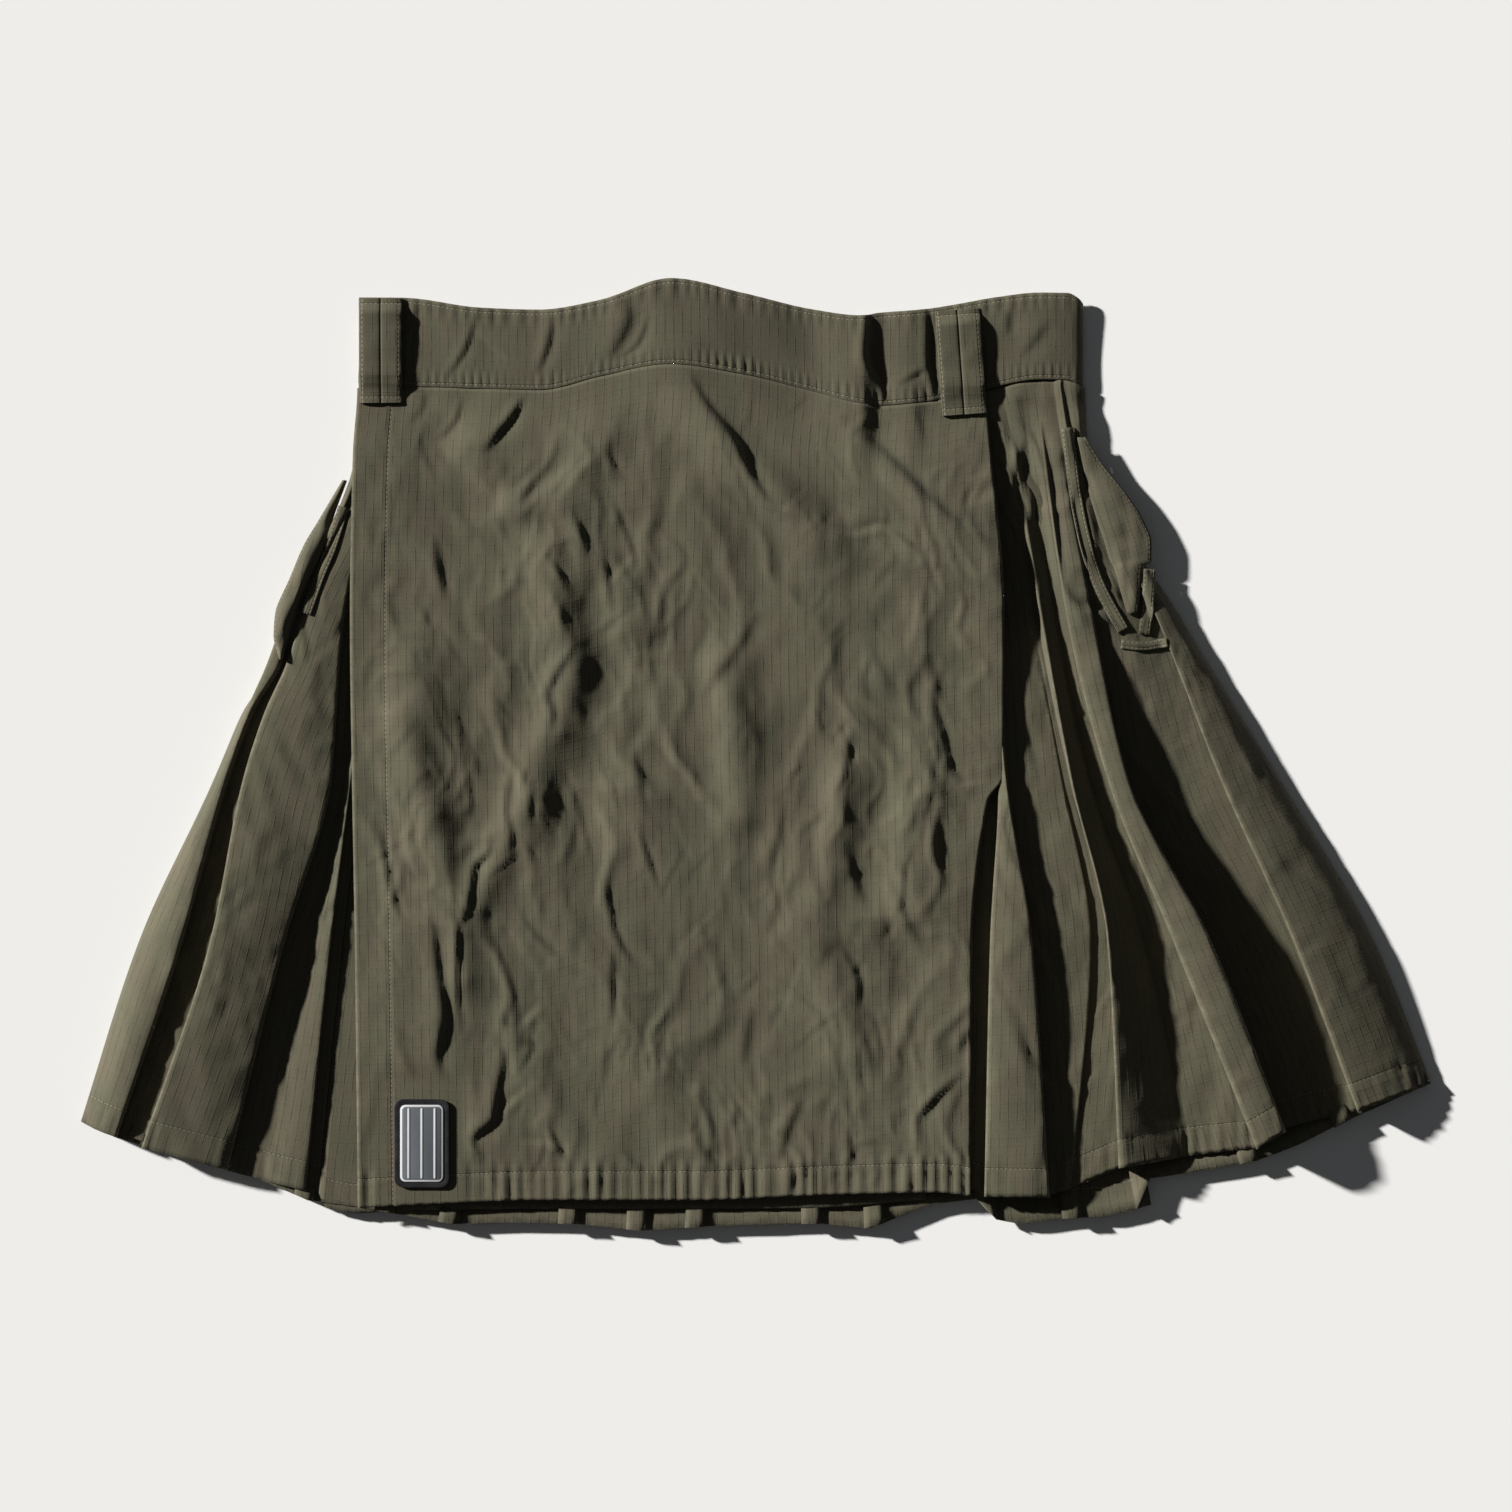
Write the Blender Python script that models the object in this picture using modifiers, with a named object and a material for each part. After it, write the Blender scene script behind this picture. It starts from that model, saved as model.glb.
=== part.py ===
"""A wrap kilt with pleated sides, lying on its back with its apron up.

Sizes are in millimetres: X runs across the kilt, Y from the hem towards the waistband, Z up.
"""

from collections import namedtuple

import bpy
import numpy as np

MM = 0.001
CLOTH = 1.2
BAND = 2.4
LOOP = 1.6
SEAM_GAP = 0.45
LIE_GAP = 0.35

WAIST_Y = 250.0
INNER_SEAM_Y = 240.3
BAND_BACK_TOP_Y = 296.5
BAND_BACK_Z = 1.2
BAND_INNER_Z = 4.0
BAND_INNER_END_X = 115.0
BAND_FOLD_LEFT_X = -268.0
BAND_BACK_RIGHT_X = 220.3

APRON_LIE_Z = 12.0
APRON_SETTLE = 70.0
APRON_ROWS = 26
SEAM_STEP = 20.0

# Rows of the pleated panels as shares of their length, closer together by the pockets
PLEAT_SHARES = (0, 0.07, 0.14, 0.2, 0.26, 0.31, 0.35, 0.39, 0.43, 0.49, 0.56, 0.64, 0.73, 0.82, 0.91, 1)
PLEAT_ROWS = len(PLEAT_SHARES)

# Nip in the side below the left pocket: height, half width, depth, and the share of it that each fold takes
LEFT_NIP = (60, 19, 11)
NIP_SHARE = {"side_foot": 1, "side": 1, "outer_pleat_right": 0.6, "first_pleat_left": 0.25}

# Heights down from the waist line at which a fold is measured; its own hem comes last
DOWN = (0, 43, 158, 267, 376)

Fold = namedtuple("Fold", "name turn x z drop tuck length")

FLAT = (0, 0, 0, 0, 0, 0)

RIGHT_FOLDS = (
    Fold("tuck_end", "soft", (125, 128, 135, 135, 132, 128), (5.4, 5.5, 6, 5.5, 5.5, 5.5), FLAT, FLAT, 540),
    Fold("first_pleat_left", "left", (132, 135, 149, 165, 158.5, 154.5), (5.4, 6, 8, 10, 14, 13),
         (0, 0, 1, 4, 7.5, 6.5), (-2.5, -2.5, -2, 1, 4, 4), 550),
    Fold("first_pleat_right", "right", (140, 144, 160.5, 170, 188, 200), (5.6, 6.5, 8.5, 10.5, 14, 12),
         (0, 0, 1, 2.5, 4, 4), (-2.5, -2.5, -2, 0, 4, 3), 550.5),
    Fold("second_pleat_right", "right", (155.5, 166, 186, 208, 228.5, 214), (5.8, 6, 7, 9.5, 13, 10),
         (0, 0, 0.5, 2, 6, 4), (-2.5, -2.5, -2.5, 0, 4, 0), 545),
    Fold("third_pleat_left", "left", (166, 176, 194.5, 214, 238, 246), (6, 6, 7, 10, 16, 13),
         (0, 0, 0.5, 2, 8, 7), (-2.5, -2.5, -2.5, 0, 4, 3), 530.5),
    Fold("third_pleat_middle", "soft", (180, 186, 203, 226, 262, 294), (7, 6, 8, 10, 12, 11), FLAT, FLAT, 523),
    Fold("fourth_pleat_left", "left", (193, 197, 212, 238.5, 282, 339), (8, 11, 14, 19, 26, 19),
         (0, 2.5, 5, 9, 14, 9), (-2.5, -2, 0, 3, 5, 4), 517),
    Fold("fourth_pleat_right", "right", (200, 206.5, 228.5, 252.5, 308, 359), (8, 11, 14, 20, 28, 18),
         (0, 0, 2, 8, 16, 9), (-2.5, -2.5, -1, 3, 5, 4), 505),
    Fold("fifth_pleat_middle", "soft", (207, 214, 252, 283, 335, 383), (8, 10, 13, 13, 12, 10.5), FLAT, FLAT, 498),
    Fold("fifth_pleat_right", "left", (211, 219, 273, 315.5, 364, 408), (8, 10, 13, 15.5, 19, 15),
         (0, 0, 0.5, 3, 7, 5), (-2.5, -2.5, -2, 1.5, 4, 4), 492),
    Fold("side_seam", "soft", (217.5, 223, 283, 344, 407, 448), (7.5, 9, 10, 12, 13, 10), FLAT, FLAT, 478),
    Fold("side", "soft", (223, 225.3, 289, 355.5, 419.5, 459), (5.5, 5, 5, 5, 4.5, 4), FLAT, FLAT, 474),
    Fold("side_foot", "soft", (223.7, 225.8, 289.7, 356.3, 420.2, 459.7), (1.5, 0.3, 0.3, 0.3, 0.3, 0.3),
         FLAT, FLAT, 473.7),
)

LEFT_FOLDS = (
    Fold("side_foot", "soft", (-270.7, -272.7, -324.4, -369.2, -419.7, -459.7), (1.5, 0.3, 0.3, 0.3, 0.3, 0.3),
         FLAT, FLAT, 499.6),
    Fold("side", "soft", (-270, -272, -323.7, -368.5, -419, -459), (3.5, 4.5, 5, 5, 4.5, 4), FLAT, FLAT, 500),
    Fold("outer_pleat_right", "right", (-266, -269, -318.5, -360.5, -389, -434), (5.4, 6, 9, 10.5, 15, 13),
         (0, 0, 0.5, 2, 5, 4), (-2.5, -2.5, -2, -1, 3, 3), 510),
    Fold("first_pleat_left", "left", (-259, -262, -309, -348.5, -370.5, -417.5), (5.5, 6.5, 12, 18, 25, 19),
         (0, 0.5, 3, 9, 15, 10), (-2.5, -2.5, -2, 2, 5, 4), 516.5),
    Fold("first_pleat_right", "right", (-252, -256, -281, -288, -319, -358.5), (5.5, 6.5, 12, 18, 23, 18),
         (0, 0.5, 4, 9, 13, 9), (-2.5, -2.5, 0, 4, 5, 4), 532),
    Fold("second_pleat_middle", "soft", (-246, -250, -272, -282, -305, -333), (5.5, 6, 8, 8, 11, 10.5),
         FLAT, FLAT, 540),
    Fold("second_pleat_right", "right", (-240, -244, -262, -275, -288, -305), (5.5, 6, 8, 9.5, 11.5, 10.5),
         (0, 0.4, 2, 3.6, 5.2, 4.4), (-2.5, -2, 2, 5, 6, 6), 546.5),
    Fold("under_edge", "soft", (-234.5, -238.5, -256, -268, -281, -298), (5.5, 5.5, 5.5, 5.5, 5.5, 5.5),
         FLAT, FLAT, 548),
)

# Front stretch of the waistband: place across, seam height, top height, height of its middle off the floor
BAND_FRONT = (
    (-270.2, 250.2, 311, 6.9),
    (-240, 250.9, 310.8, 6.9),
    (-188, 249.6, 304, 8),
    (-147, 248.6, 302.6, 9),
    (-106, 257.7, 309, 11),
    (-58, 265.9, 323.7, 14),
    (-10, 259.5, 314, 12),
    (37, 248.2, 303, 9),
    (71, 239.5, 298.5, 12),
    (84, 238, 300.6, 7.6),
    (105, 239.4, 302, 9.5),
    (118, 241, 303.4, 7.6),
    (140, 245.5, 306.9, 7.4),
    (163, 250.8, 311, 7.4),
    (193, 255.7, 314.2, 8),
    (212, 255.4, 314, 7),
    (219, 252.8, 310.5, 5.9),
    (222, 250.9, 307, 3.1),
)

# Apron: height, free edge at the left, edge at the right
APRON_EDGES = (
    (262, -271.3, 154),
    (250, -271.3, 155.7),
    (207, -274, 159.8),
    (92, -276, 168.6),
    (-14, -274.7, 168.4),
    (-31, -274.4, 157.8),
    (-126, -272.7, 146.9),
    (-309, -270.6, 145.5),
)
APRON_HEM = ((-272, -308), (-206, -304.6), (-150, -302.5), (-38, -302.5), (35, -299.5), (122, -297.2), (146, -299.5))

# Largest creases of the apron: height of the ridge, below 0 for a trough, its half width, and the line it follows
APRON_CREASES = (
    (8, 15, ((-38, 255), (20, 205), (70, 160))),
    (6, 12, ((70, 160), (120, 135), (168, 112))),
    (6.5, 15, ((60, 232), (115, 195), (168, 165))),
    (-3.2, 13, ((-30, 215), (20, 172), (80, 128))),
    (-3, 12, ((100, 180), (135, 158), (166, 138))),
    (-3, 13, ((-195, 240), (-218, 210), (-180, 180))),
    (4.5, 13, ((-180, 236), (-196, 205), (-160, 165))),
    (5, 14, ((-145, 140), (-125, 60), (-150, -20), (-190, -100))),
    (-3, 14, ((-110, 110), (-98, 40), (-118, -40))),
    (4, 14, ((-240, 20), (-215, -60), (-200, -150))),
    (4.5, 14, ((-20, 60), (-10, -40))),
    (3.5, 15, ((60, -20), (40, -120), (70, -200))),
    (-3, 15, ((100, 40), (80, -70), (105, -160))),
)

UNDER_APRON_RIGHT = ((240, 112), (0, 114), (-310, 116))
UNDER_APRON_HEM = ((-312, -296), (-295, -307.5), (-271, -311.8), (-240, -310), (-150, -309), (35, -308.5), (116, -302.5))

# Back: place of each fold at the waist is even, and this is its place at the hem
BACK_FOLDS_HEM = (-417, -360, -304.6, -249.6, -206, -124.4, -78, -38, 41.5, 84, 160, 219, 268.5, 339, 402)
BACK_HEM = (
    (-459, -248),
    (-417, -263),
    (-358, -280),
    (-304.6, -303),
    (-270.6, -307.5),
    (-249.6, -311.4),
    (-206, -319.3),
    (-174.8, -318.2),
    (-124.4, -318.9),
    (-78, -323.7),
    (-38, -321),
    (-8.8, -320),
    (41.5, -318.7),
    (78, -322.3),
    (117, -306),
    (160, -301),
    (162.3, -316),
    (180, -319),
    (207, -315.5),
    (240, -314),
    (268.5, -306),
    (270.8, -288),
    (315, -281),
    (343, -275.5),
    (370, -265),
    (397, -251),
    (424, -240),
    (459, -224),
)
BACK_TUCK_WAIST = 23.0
BACK_TUCK_HEM = 10.0
BACK_TURN = 2.4
FOOT_GAP = 1.15

# Belt loops: middle of the upper end, middle of the lower end, width
LEFT_LOOP = ((-255.4, 310.6), (-255, 239.4), 28.4)
RIGHT_LOOP = ((136.7, 302.9), (141.8, 231.5), 30)
LOOP_ARCH = 6.6

# Pocket trims: middle line of each strip and its width
RIGHT_WELT = (((211.5, 222.4), (219, 167.3), (231.2, 120.4), (250.2, 84)), 8)
RIGHT_BACK_STRIP = (((267.6, 126.4), (266.5, 102), (264.2, 82)), 8)
RIGHT_BAR = (((248, 75.5), (263, 74), (279, 76.5)), 6)
LEFT_WELT = (((-280.5, 168.6), (-288.6, 141.4), (-297.2, 120.4), (-305.7, 96)), 7)

# Gaping pocket cloth: inner line, outer line, height of the outer edge
RIGHT_GAPE = (
    ((218.5, 216), (223, 195), (227, 177), (232, 160), (237, 145), (241, 132), (243.5, 127.6), (249, 108), (252.5, 96)),
    ((223.7, 216), (237.4, 195), (252, 177), (263, 160), (268.8, 145), (268.6, 132), (262, 127.6), (260.8, 108), (259, 96)),
    10.5,
)
LEFT_GAPE = (
    ((-279, 187), (-287, 165), (-294.5, 141.4), (-303.5, 120.4), (-312, 96), (-316, 70)),
    ((-281.5, 187), (-294.5, 165), (-307.7, 141.4), (-316.5, 120.4), (-326.5, 96), (-327, 70)),
    9.5,
)

# Rubber patch: middle, width, height, corner radius
PATCH_MIDDLE = (-227.1, -263.8)
PATCH_SIZE = (37, 60)
PATCH_CORNER = 6.0
PATCH_THICK = 1.6
PATCH_RIM = 1.6

MATERIALS = {
    "apron_cloth": ((0.098, 0.088, 0.062), 0.86),
    "pleat_cloth": ((0.094, 0.084, 0.059), 0.86),
    "back_cloth": ((0.088, 0.079, 0.056), 0.88),
    "band_cloth": ((0.090, 0.080, 0.057), 0.84),
    "loop_cloth": ((0.086, 0.077, 0.055), 0.84),
    "pocket_cloth": ((0.090, 0.081, 0.058), 0.86),
    "patch_rubber": ((0.025, 0.025, 0.027), 0.55),
}


def smooth(at, values, where):
    """Read a row of sizes at any place, on a curve that never overshoots them."""
    at = np.asarray(at, float)
    values = np.asarray(values, float)
    if at[0] > at[-1]:
        at = at[::-1]
        values = values[::-1]
    where = np.clip(where, at[0], at[-1])
    step = np.diff(at)
    slope = np.diff(values) / step
    lean = np.zeros(len(at))
    both = slope[:-1] * slope[1:]
    total = slope[:-1] + slope[1:]
    lean[1:-1] = np.where(both > 0, 2 * both / np.where(both > 0, total, 1), 0)
    lean[0] = slope[0]
    lean[-1] = slope[-1]
    cell = np.clip(np.searchsorted(at, where, side="right") - 1, 0, len(step) - 1)
    t = (where - at[cell]) / step[cell]
    rise = values[cell + 1] - values[cell]
    start = lean[cell] * step[cell]
    finish = lean[cell + 1] * step[cell]
    return values[cell] + t * start + t * t * (3 * rise - 2 * start - finish) + t ** 3 * (start + finish - 2 * rise)


def table(rows, column, where):
    """Read one column of a table at a place given by its first column."""
    rows = np.array(rows, float)
    return smooth(rows[:, 0], rows[:, column], where)


def straight(rows, where):
    """Read a table of two columns along straight lines."""
    rows = np.array(rows, float)
    return np.interp(where, rows[:, 0], rows[:, 1])


def fold_line(fold, top_of_seam, beside, below, nip):
    """One line of a fold from waist to hem; beside and below move it off the fold's edge."""
    top_y = top_of_seam(fold.x[0] + beside * fold.tuck[0]) - SEAM_GAP
    y = top_y + (WAIST_Y - fold.length - top_y) * np.array(PLEAT_SHARES)
    stations = DOWN + (fold.length,)
    down = WAIST_Y - y
    x = smooth(stations, fold.x, down) + beside * smooth(stations, fold.tuck, down)
    x = x + nip[2] * NIP_SHARE.get(fold.name, 0) * np.exp(-(((y - nip[0]) / nip[1]) ** 2))
    z = smooth(stations, fold.z, down) - below * smooth(stations, fold.drop, down)
    return np.stack([x, y, z], axis=1)


def pleated_panel(folds, top_of_seam, nip=(0, 1, 0)):
    """A panel's middle surface: rows from waist to hem, columns from left to right."""
    lines = []
    for fold in folds:
        if fold.turn == "left":
            lines.append(fold_line(fold, top_of_seam, 1, 1, nip))
        lines.append(fold_line(fold, top_of_seam, 0, 0, nip))
        if fold.turn == "right":
            lines.append(fold_line(fold, top_of_seam, -1, 1, nip))
    return np.stack(lines, axis=1)


def seam_stations():
    """Places across the front band at which its edge is measured, shared with the panels sewn to it."""
    rows = np.array(BAND_FRONT, float)
    x = []
    for a, b in zip(rows[:-1, 0], rows[1:, 0]):
        steps = max(1, round((b - a) / SEAM_STEP))
        x += list(a + (b - a) * np.arange(steps) / steps)
    return np.array(x + [rows[-1, 0]])


def front_seam(x):
    """Height of the front band's lower edge, straight between its stations."""
    stations = seam_stations()
    return np.interp(x, stations, table(BAND_FRONT, 1, stations))


def inner_seam(x):
    return INNER_SEAM_Y


def side_line(foot, y):
    """Place across of the foot of a side panel at any height, carried on straight below its hem."""
    stations = DOWN + (foot.length,)
    slope = (foot.x[-1] - foot.x[-2]) / (foot.length - DOWN[-1])
    return smooth(stations, foot.x, WAIST_Y - y) + slope * np.maximum(WAIST_Y - y - foot.length, 0)


def end_line(foot, inward, z):
    """An end of the back, set just inside the foot of a side panel."""
    line = foot.copy()
    top_y = INNER_SEAM_Y - SEAM_GAP
    if line[0, 1] > top_y:
        line[0, 0] = np.interp(top_y, foot[::-1, 1], foot[::-1, 0])
        line[0, 1] = top_y
    line[:, 0] += inward
    line[:, 2] = z
    return line


def back_grid(left_side, right_side):
    """The pleated back, each knife pleat three layers thick and flat on the floor."""
    left = LEFT_FOLDS[0]
    right = RIGHT_FOLDS[-1]
    low = CLOTH / 2
    middle = low + CLOTH + LIE_GAP
    high = middle + CLOTH + LIE_GAP
    top_y = INNER_SEAM_Y - SEAM_GAP
    columns = [end_line(left_side[:, 0], FOOT_GAP, low)]
    for number, place in enumerate(BACK_FOLDS_HEM):
        hem_y = straight(BACK_HEM, place)
        hem_left = side_line(left, hem_y)
        hem_part = (place - hem_left) / (side_line(right, hem_y) - hem_left)
        waist_part = (number + 1) / (len(BACK_FOLDS_HEM) + 1)
        for waist_shift, hem_shift, z in (
            (0, 0, low),
            (0, 0, middle),
            (-BACK_TUCK_WAIST, -BACK_TUCK_HEM, middle),
            (-BACK_TUCK_WAIST, -BACK_TUCK_HEM, high),
            (BACK_TURN, BACK_TURN, high),
            (BACK_TURN, BACK_TURN, low),
        ):
            own_hem = straight(BACK_HEM, place + hem_shift)
            y = top_y + (own_hem - top_y) * np.array(PLEAT_SHARES)
            lower = (top_y - y) / (top_y - hem_y)
            part = waist_part + (hem_part - waist_part) * lower
            start = side_line(left, y)
            x = start + (side_line(right, y) - start) * part + waist_shift + (hem_shift - waist_shift) * lower
            columns.append(np.stack([x, y, np.full(PLEAT_ROWS, z)], axis=1))
    columns.append(end_line(right_side[:, -1], -FOOT_GAP, low))
    return np.stack(columns, axis=1)


def crease_height(x, y, creases):
    """Height that the named creases add at a place."""
    total = np.zeros(np.broadcast(x, y).shape)
    for height, half_width, line in creases:
        nearest = np.full(total.shape, 1e9)
        for (ax, ay), (bx, by) in zip(line[:-1], line[1:]):
            along = ((x - ax) * (bx - ax) + (y - ay) * (by - ay)) / ((bx - ax) ** 2 + (by - ay) ** 2)
            along = np.clip(along, 0, 1)
            away = np.hypot(x - ax - along * (bx - ax), y - ay - along * (by - ay))
            nearest = np.minimum(nearest, away)
        total = total + height * np.exp(-((nearest / half_width) ** 2))
    return total


def apron_height(x, y):
    """Height of the apron's middle: as high as the band at its seam, then settling down to the pile below."""
    seam_y = front_seam(x)
    seam_z = table(BAND_FRONT, 3, x)
    part = np.clip((seam_y - y) / APRON_SETTLE, 0, 1)
    part = part * part * (3 - 2 * part)
    right_rise = 1.5 * np.clip((x - 60) / 60, 0, 1)
    calm = np.clip(part * 1.2, 0.15, 1)
    edge_calm = np.clip((x + 278) / 30, 0.1, 1) * np.clip((y + 312) / 40, 0.15, 1)
    raised = crease_height(x, y, APRON_CREASES) * calm * edge_calm
    return seam_z + (APRON_LIE_Z + right_rise - seam_z) * part + np.maximum(raised, -3.5)


def apron_grid():
    share_y = np.linspace(0, 1, APRON_ROWS)
    stations = seam_stations()
    left_x, right_x = APRON_EDGES[1][1:]
    inner = stations[(stations > left_x + 8) & (stations < right_x - 6)]
    top_x = np.concatenate([[left_x], inner, [right_x]])
    share_x = (top_x - left_x) / (right_x - left_x)
    hem_x = APRON_EDGES[-1][1] + (APRON_EDGES[-1][2] - APRON_EDGES[-1][1]) * share_x
    top_y = front_seam(top_x) - SEAM_GAP
    hem_y = table(APRON_HEM, 1, hem_x)
    y = top_y[None, :] + (hem_y - top_y)[None, :] * share_y[:, None]
    left = table(APRON_EDGES, 1, y)
    right = table(APRON_EDGES, 2, y)
    x = left + (right - left) * share_x[None, :]
    return np.stack([x, y, apron_height(x, y)], axis=2)


def under_apron_grid(side):
    """The inner front panel, joined to the last line of the left pleats."""
    joined = side[:, -1]
    parts = np.array([0, 0.02, 0.05, 0.1, 0.2, 0.32, 0.45, 0.58, 0.7, 0.82, 0.92, 1])
    share = np.array(PLEAT_SHARES)
    right = table(UNDER_APRON_RIGHT, 1, joined[:, 1])
    left = joined[:, 0] + SEAM_GAP
    x = left[:, None] + (right - left)[:, None] * parts[None, :]
    hem_y = table(UNDER_APRON_HEM, 1, x[-1])
    top_y = INNER_SEAM_Y - SEAM_GAP
    y = top_y + (hem_y - top_y)[None, :] * share[:, None]
    flat = np.clip(parts / 0.07, 0, 1)
    z = joined[:, 2][:, None] + (5.5 - joined[:, 2])[:, None] * flat[None, :]
    y[:, 0] = joined[:, 1]
    return np.stack([x, y, z], axis=2)


def band_front_grid():
    x = seam_stations()
    low = table(BAND_FRONT, 1, x)
    high = table(BAND_FRONT, 2, x)
    z = table(BAND_FRONT, 3, x)
    share = np.linspace(1, 0, 4)[:, None]
    y = low + (high - low) * share
    return np.stack([np.broadcast_to(x, y.shape), y, np.broadcast_to(z, y.shape)], axis=2)


def band_back_grid():
    """Back stretch of the band, turned over at the left into its inner stretch."""
    turn = (BAND_INNER_Z - BAND_BACK_Z) / 2
    middle = (BAND_INNER_Z + BAND_BACK_Z) / 2
    line = [(x, BAND_BACK_Z) for x in np.linspace(BAND_BACK_RIGHT_X, BAND_FOLD_LEFT_X, 12)]
    for angle in (45, 90, 135):
        a = np.radians(angle)
        line.append((BAND_FOLD_LEFT_X - turn * np.sin(a), middle - turn * np.cos(a)))
    line += [(x, BAND_INNER_Z) for x in np.linspace(BAND_FOLD_LEFT_X, BAND_INNER_END_X, 9)]
    line = np.array(line)
    heights = np.array([INNER_SEAM_Y, 268, BAND_BACK_TOP_Y])
    x = np.broadcast_to(line[:, 0], (3, len(line)))
    z = np.broadcast_to(line[:, 1], (3, len(line)))
    return np.stack([x, np.broadcast_to(heights[:, None], x.shape), z], axis=2)


def highest(grids, x, y):
    """Height of the topmost middle surface over one place, or None where no cloth lies."""
    found = None
    for grid in grids:
        a = grid[:-1, :-1].reshape(-1, 3)
        b = grid[:-1, 1:].reshape(-1, 3)
        c = grid[1:, 1:].reshape(-1, 3)
        d = grid[1:, :-1].reshape(-1, 3)
        for p, q, r in ((a, b, c), (a, c, d)):
            span = (q[:, 0] - p[:, 0]) * (r[:, 1] - p[:, 1]) - (r[:, 0] - p[:, 0]) * (q[:, 1] - p[:, 1])
            span = np.where(np.abs(span) < 1e-9, 1e-9, span)
            s = ((x - p[:, 0]) * (r[:, 1] - p[:, 1]) - (r[:, 0] - p[:, 0]) * (y - p[:, 1])) / span
            t = ((q[:, 0] - p[:, 0]) * (y - p[:, 1]) - (x - p[:, 0]) * (q[:, 1] - p[:, 1])) / span
            inside = (s >= 0) & (t >= 0) & (s + t <= 1)
            if inside.any():
                z = (p[:, 2] + s * (q[:, 2] - p[:, 2]) + t * (r[:, 2] - p[:, 2]))[inside].max()
                found = z if found is None else max(found, z)
    return found


def lying_on(grids, x, y, lift, reach=3.0, bare=None):
    """Height for a point that lies on other cloth, clear of all the cloth within reach."""
    around = [(reach * i, reach * j) for i in (-1, -0.5, 0, 0.5, 1) for j in (-1, 0, 1)]
    heights = [highest(grids, x + dx, y + dy) for dx, dy in around]
    heights = [height for height in heights if height is not None]
    if not heights:
        return bare
    return max(heights) + lift


def strip_grid(grids, line, width, thick, steps, under=CLOTH):
    """A flat strip laid along a line on other cloth."""
    line = np.array(line, float)
    length = np.concatenate([[0], np.cumsum(np.hypot(*np.diff(line, axis=0).T))])
    at = np.linspace(0, length[-1], steps)
    x = smooth(length, line[:, 0], at)
    y = smooth(length, line[:, 1], at)
    along = np.stack([np.gradient(x), np.gradient(y)], axis=1)
    along /= np.hypot(along[:, 0], along[:, 1])[:, None]
    rows = []
    for px, py, (ax, ay) in zip(x, y, along):
        row = []
        for side in (-0.5, 0, 0.5):
            qx = px - ay * side * width
            qy = py + ax * side * width
            row.append((qx, qy, lying_on(grids, qx, qy, under / 2 + LIE_GAP + thick / 2, reach=3.5, bare=8.0)))
        rows.append(row)
    return np.array(rows)


def loop_grid(grids, band, ends, width):
    """A belt loop: both ends lie on the cloth and its middle stands off the band."""
    (ax, ay), (bx, by) = ends
    shares = (0, 0.05, 0.08, 0.12, 0.15, 0.5, 0.73, 0.8, 0.86, 0.93, 1)
    lift = (0, 0, 0.4, 0.9, 1, 1, 1, 0.75, 0.3, 0, 0)
    length = np.hypot(bx - ax, by - ay)
    across = np.array([-(by - ay), bx - ax]) / length
    rows = []
    for share, raised in zip(shares, lift):
        px = ax + (bx - ax) * share
        py = ay + (by - ay) * share
        row = []
        for side in (-0.5, 0, 0.5):
            qx = px + across[0] * side * width
            qy = py + across[1] * side * width
            near = max(lying_on([band], qx, qy, BAND / 2, 4, bare=0), lying_on(grids, qx, qy, CLOTH / 2, 4, bare=0))
            row.append((qx, qy, near + LIE_GAP + LOOP / 2 + raised * (LOOP_ARCH - LIE_GAP - BAND / 2 - LOOP / 2)))
        rows.append(row)
    rows = np.array(rows)
    rows[4:7, :, 2] = rows[4:7, :, 2].max()
    return rows


def gape_grid(grids, inner, outer, edge_z):
    """Pocket cloth that stands out of the mouth, its inner line on the panel and its outer edge free."""
    inner = np.array(inner, float)
    outer = np.array(outer, float)
    rows = []
    for a, b in zip(inner, outer):
        under = [lying_on(grids, *(a + (b - a) * share), CLOTH + LIE_GAP, bare=0) for share in np.linspace(0, 1, 7)]
        level = max(under)
        row = []
        for share in (0, 0.25, 0.5, 0.75, 1):
            px, py = a + (b - a) * share
            rise = min(1, share / 0.25)
            row.append((px, py, under[0] + (level - under[0]) * rise + 1.2 * np.sin(np.pi * share)))
        rows.append(row)
    rows = np.array(rows)
    rows[:, -1, 2] = np.maximum(rows[:, -1, 2], edge_z)
    return rows


def principled(name):
    colour, rough = MATERIALS[name]
    material = bpy.data.materials.new(name)
    material.use_nodes = True
    shader = material.node_tree.nodes["Principled BSDF"]
    shader.inputs["Base Color"].default_value = (*colour, 1)
    shader.inputs["Roughness"].default_value = rough
    shader.inputs["Metallic"].default_value = 0
    material.diffuse_color = (*colour, 1)
    return material


def add_object(name, mesh, material):
    obj = bpy.data.objects.new(name, mesh)
    kilt.objects.link(obj)
    mesh.materials.append(materials[material])
    return obj


def cloth(name, grid, thick, material, even=False):
    """A wall of cloth of even thickness about a middle surface."""
    rows, columns = grid.shape[:2]
    faces = []
    for r in range(rows - 1):
        for c in range(columns - 1):
            a = r * columns + c
            faces.append((a, a + columns, a + columns + 1, a + 1))
    mesh = bpy.data.meshes.new(name)
    mesh.from_pydata((grid.reshape(-1, 3) * MM).tolist(), [], faces)
    mesh.polygons.foreach_set("use_smooth", [True] * len(mesh.polygons))
    obj = add_object(name, mesh, material)
    wall = obj.modifiers.new("wall", "SOLIDIFY")
    wall.thickness = thick * MM
    wall.offset = 0
    wall.use_even_offset = even
    wall.use_quality_normals = even
    return obj


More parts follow.
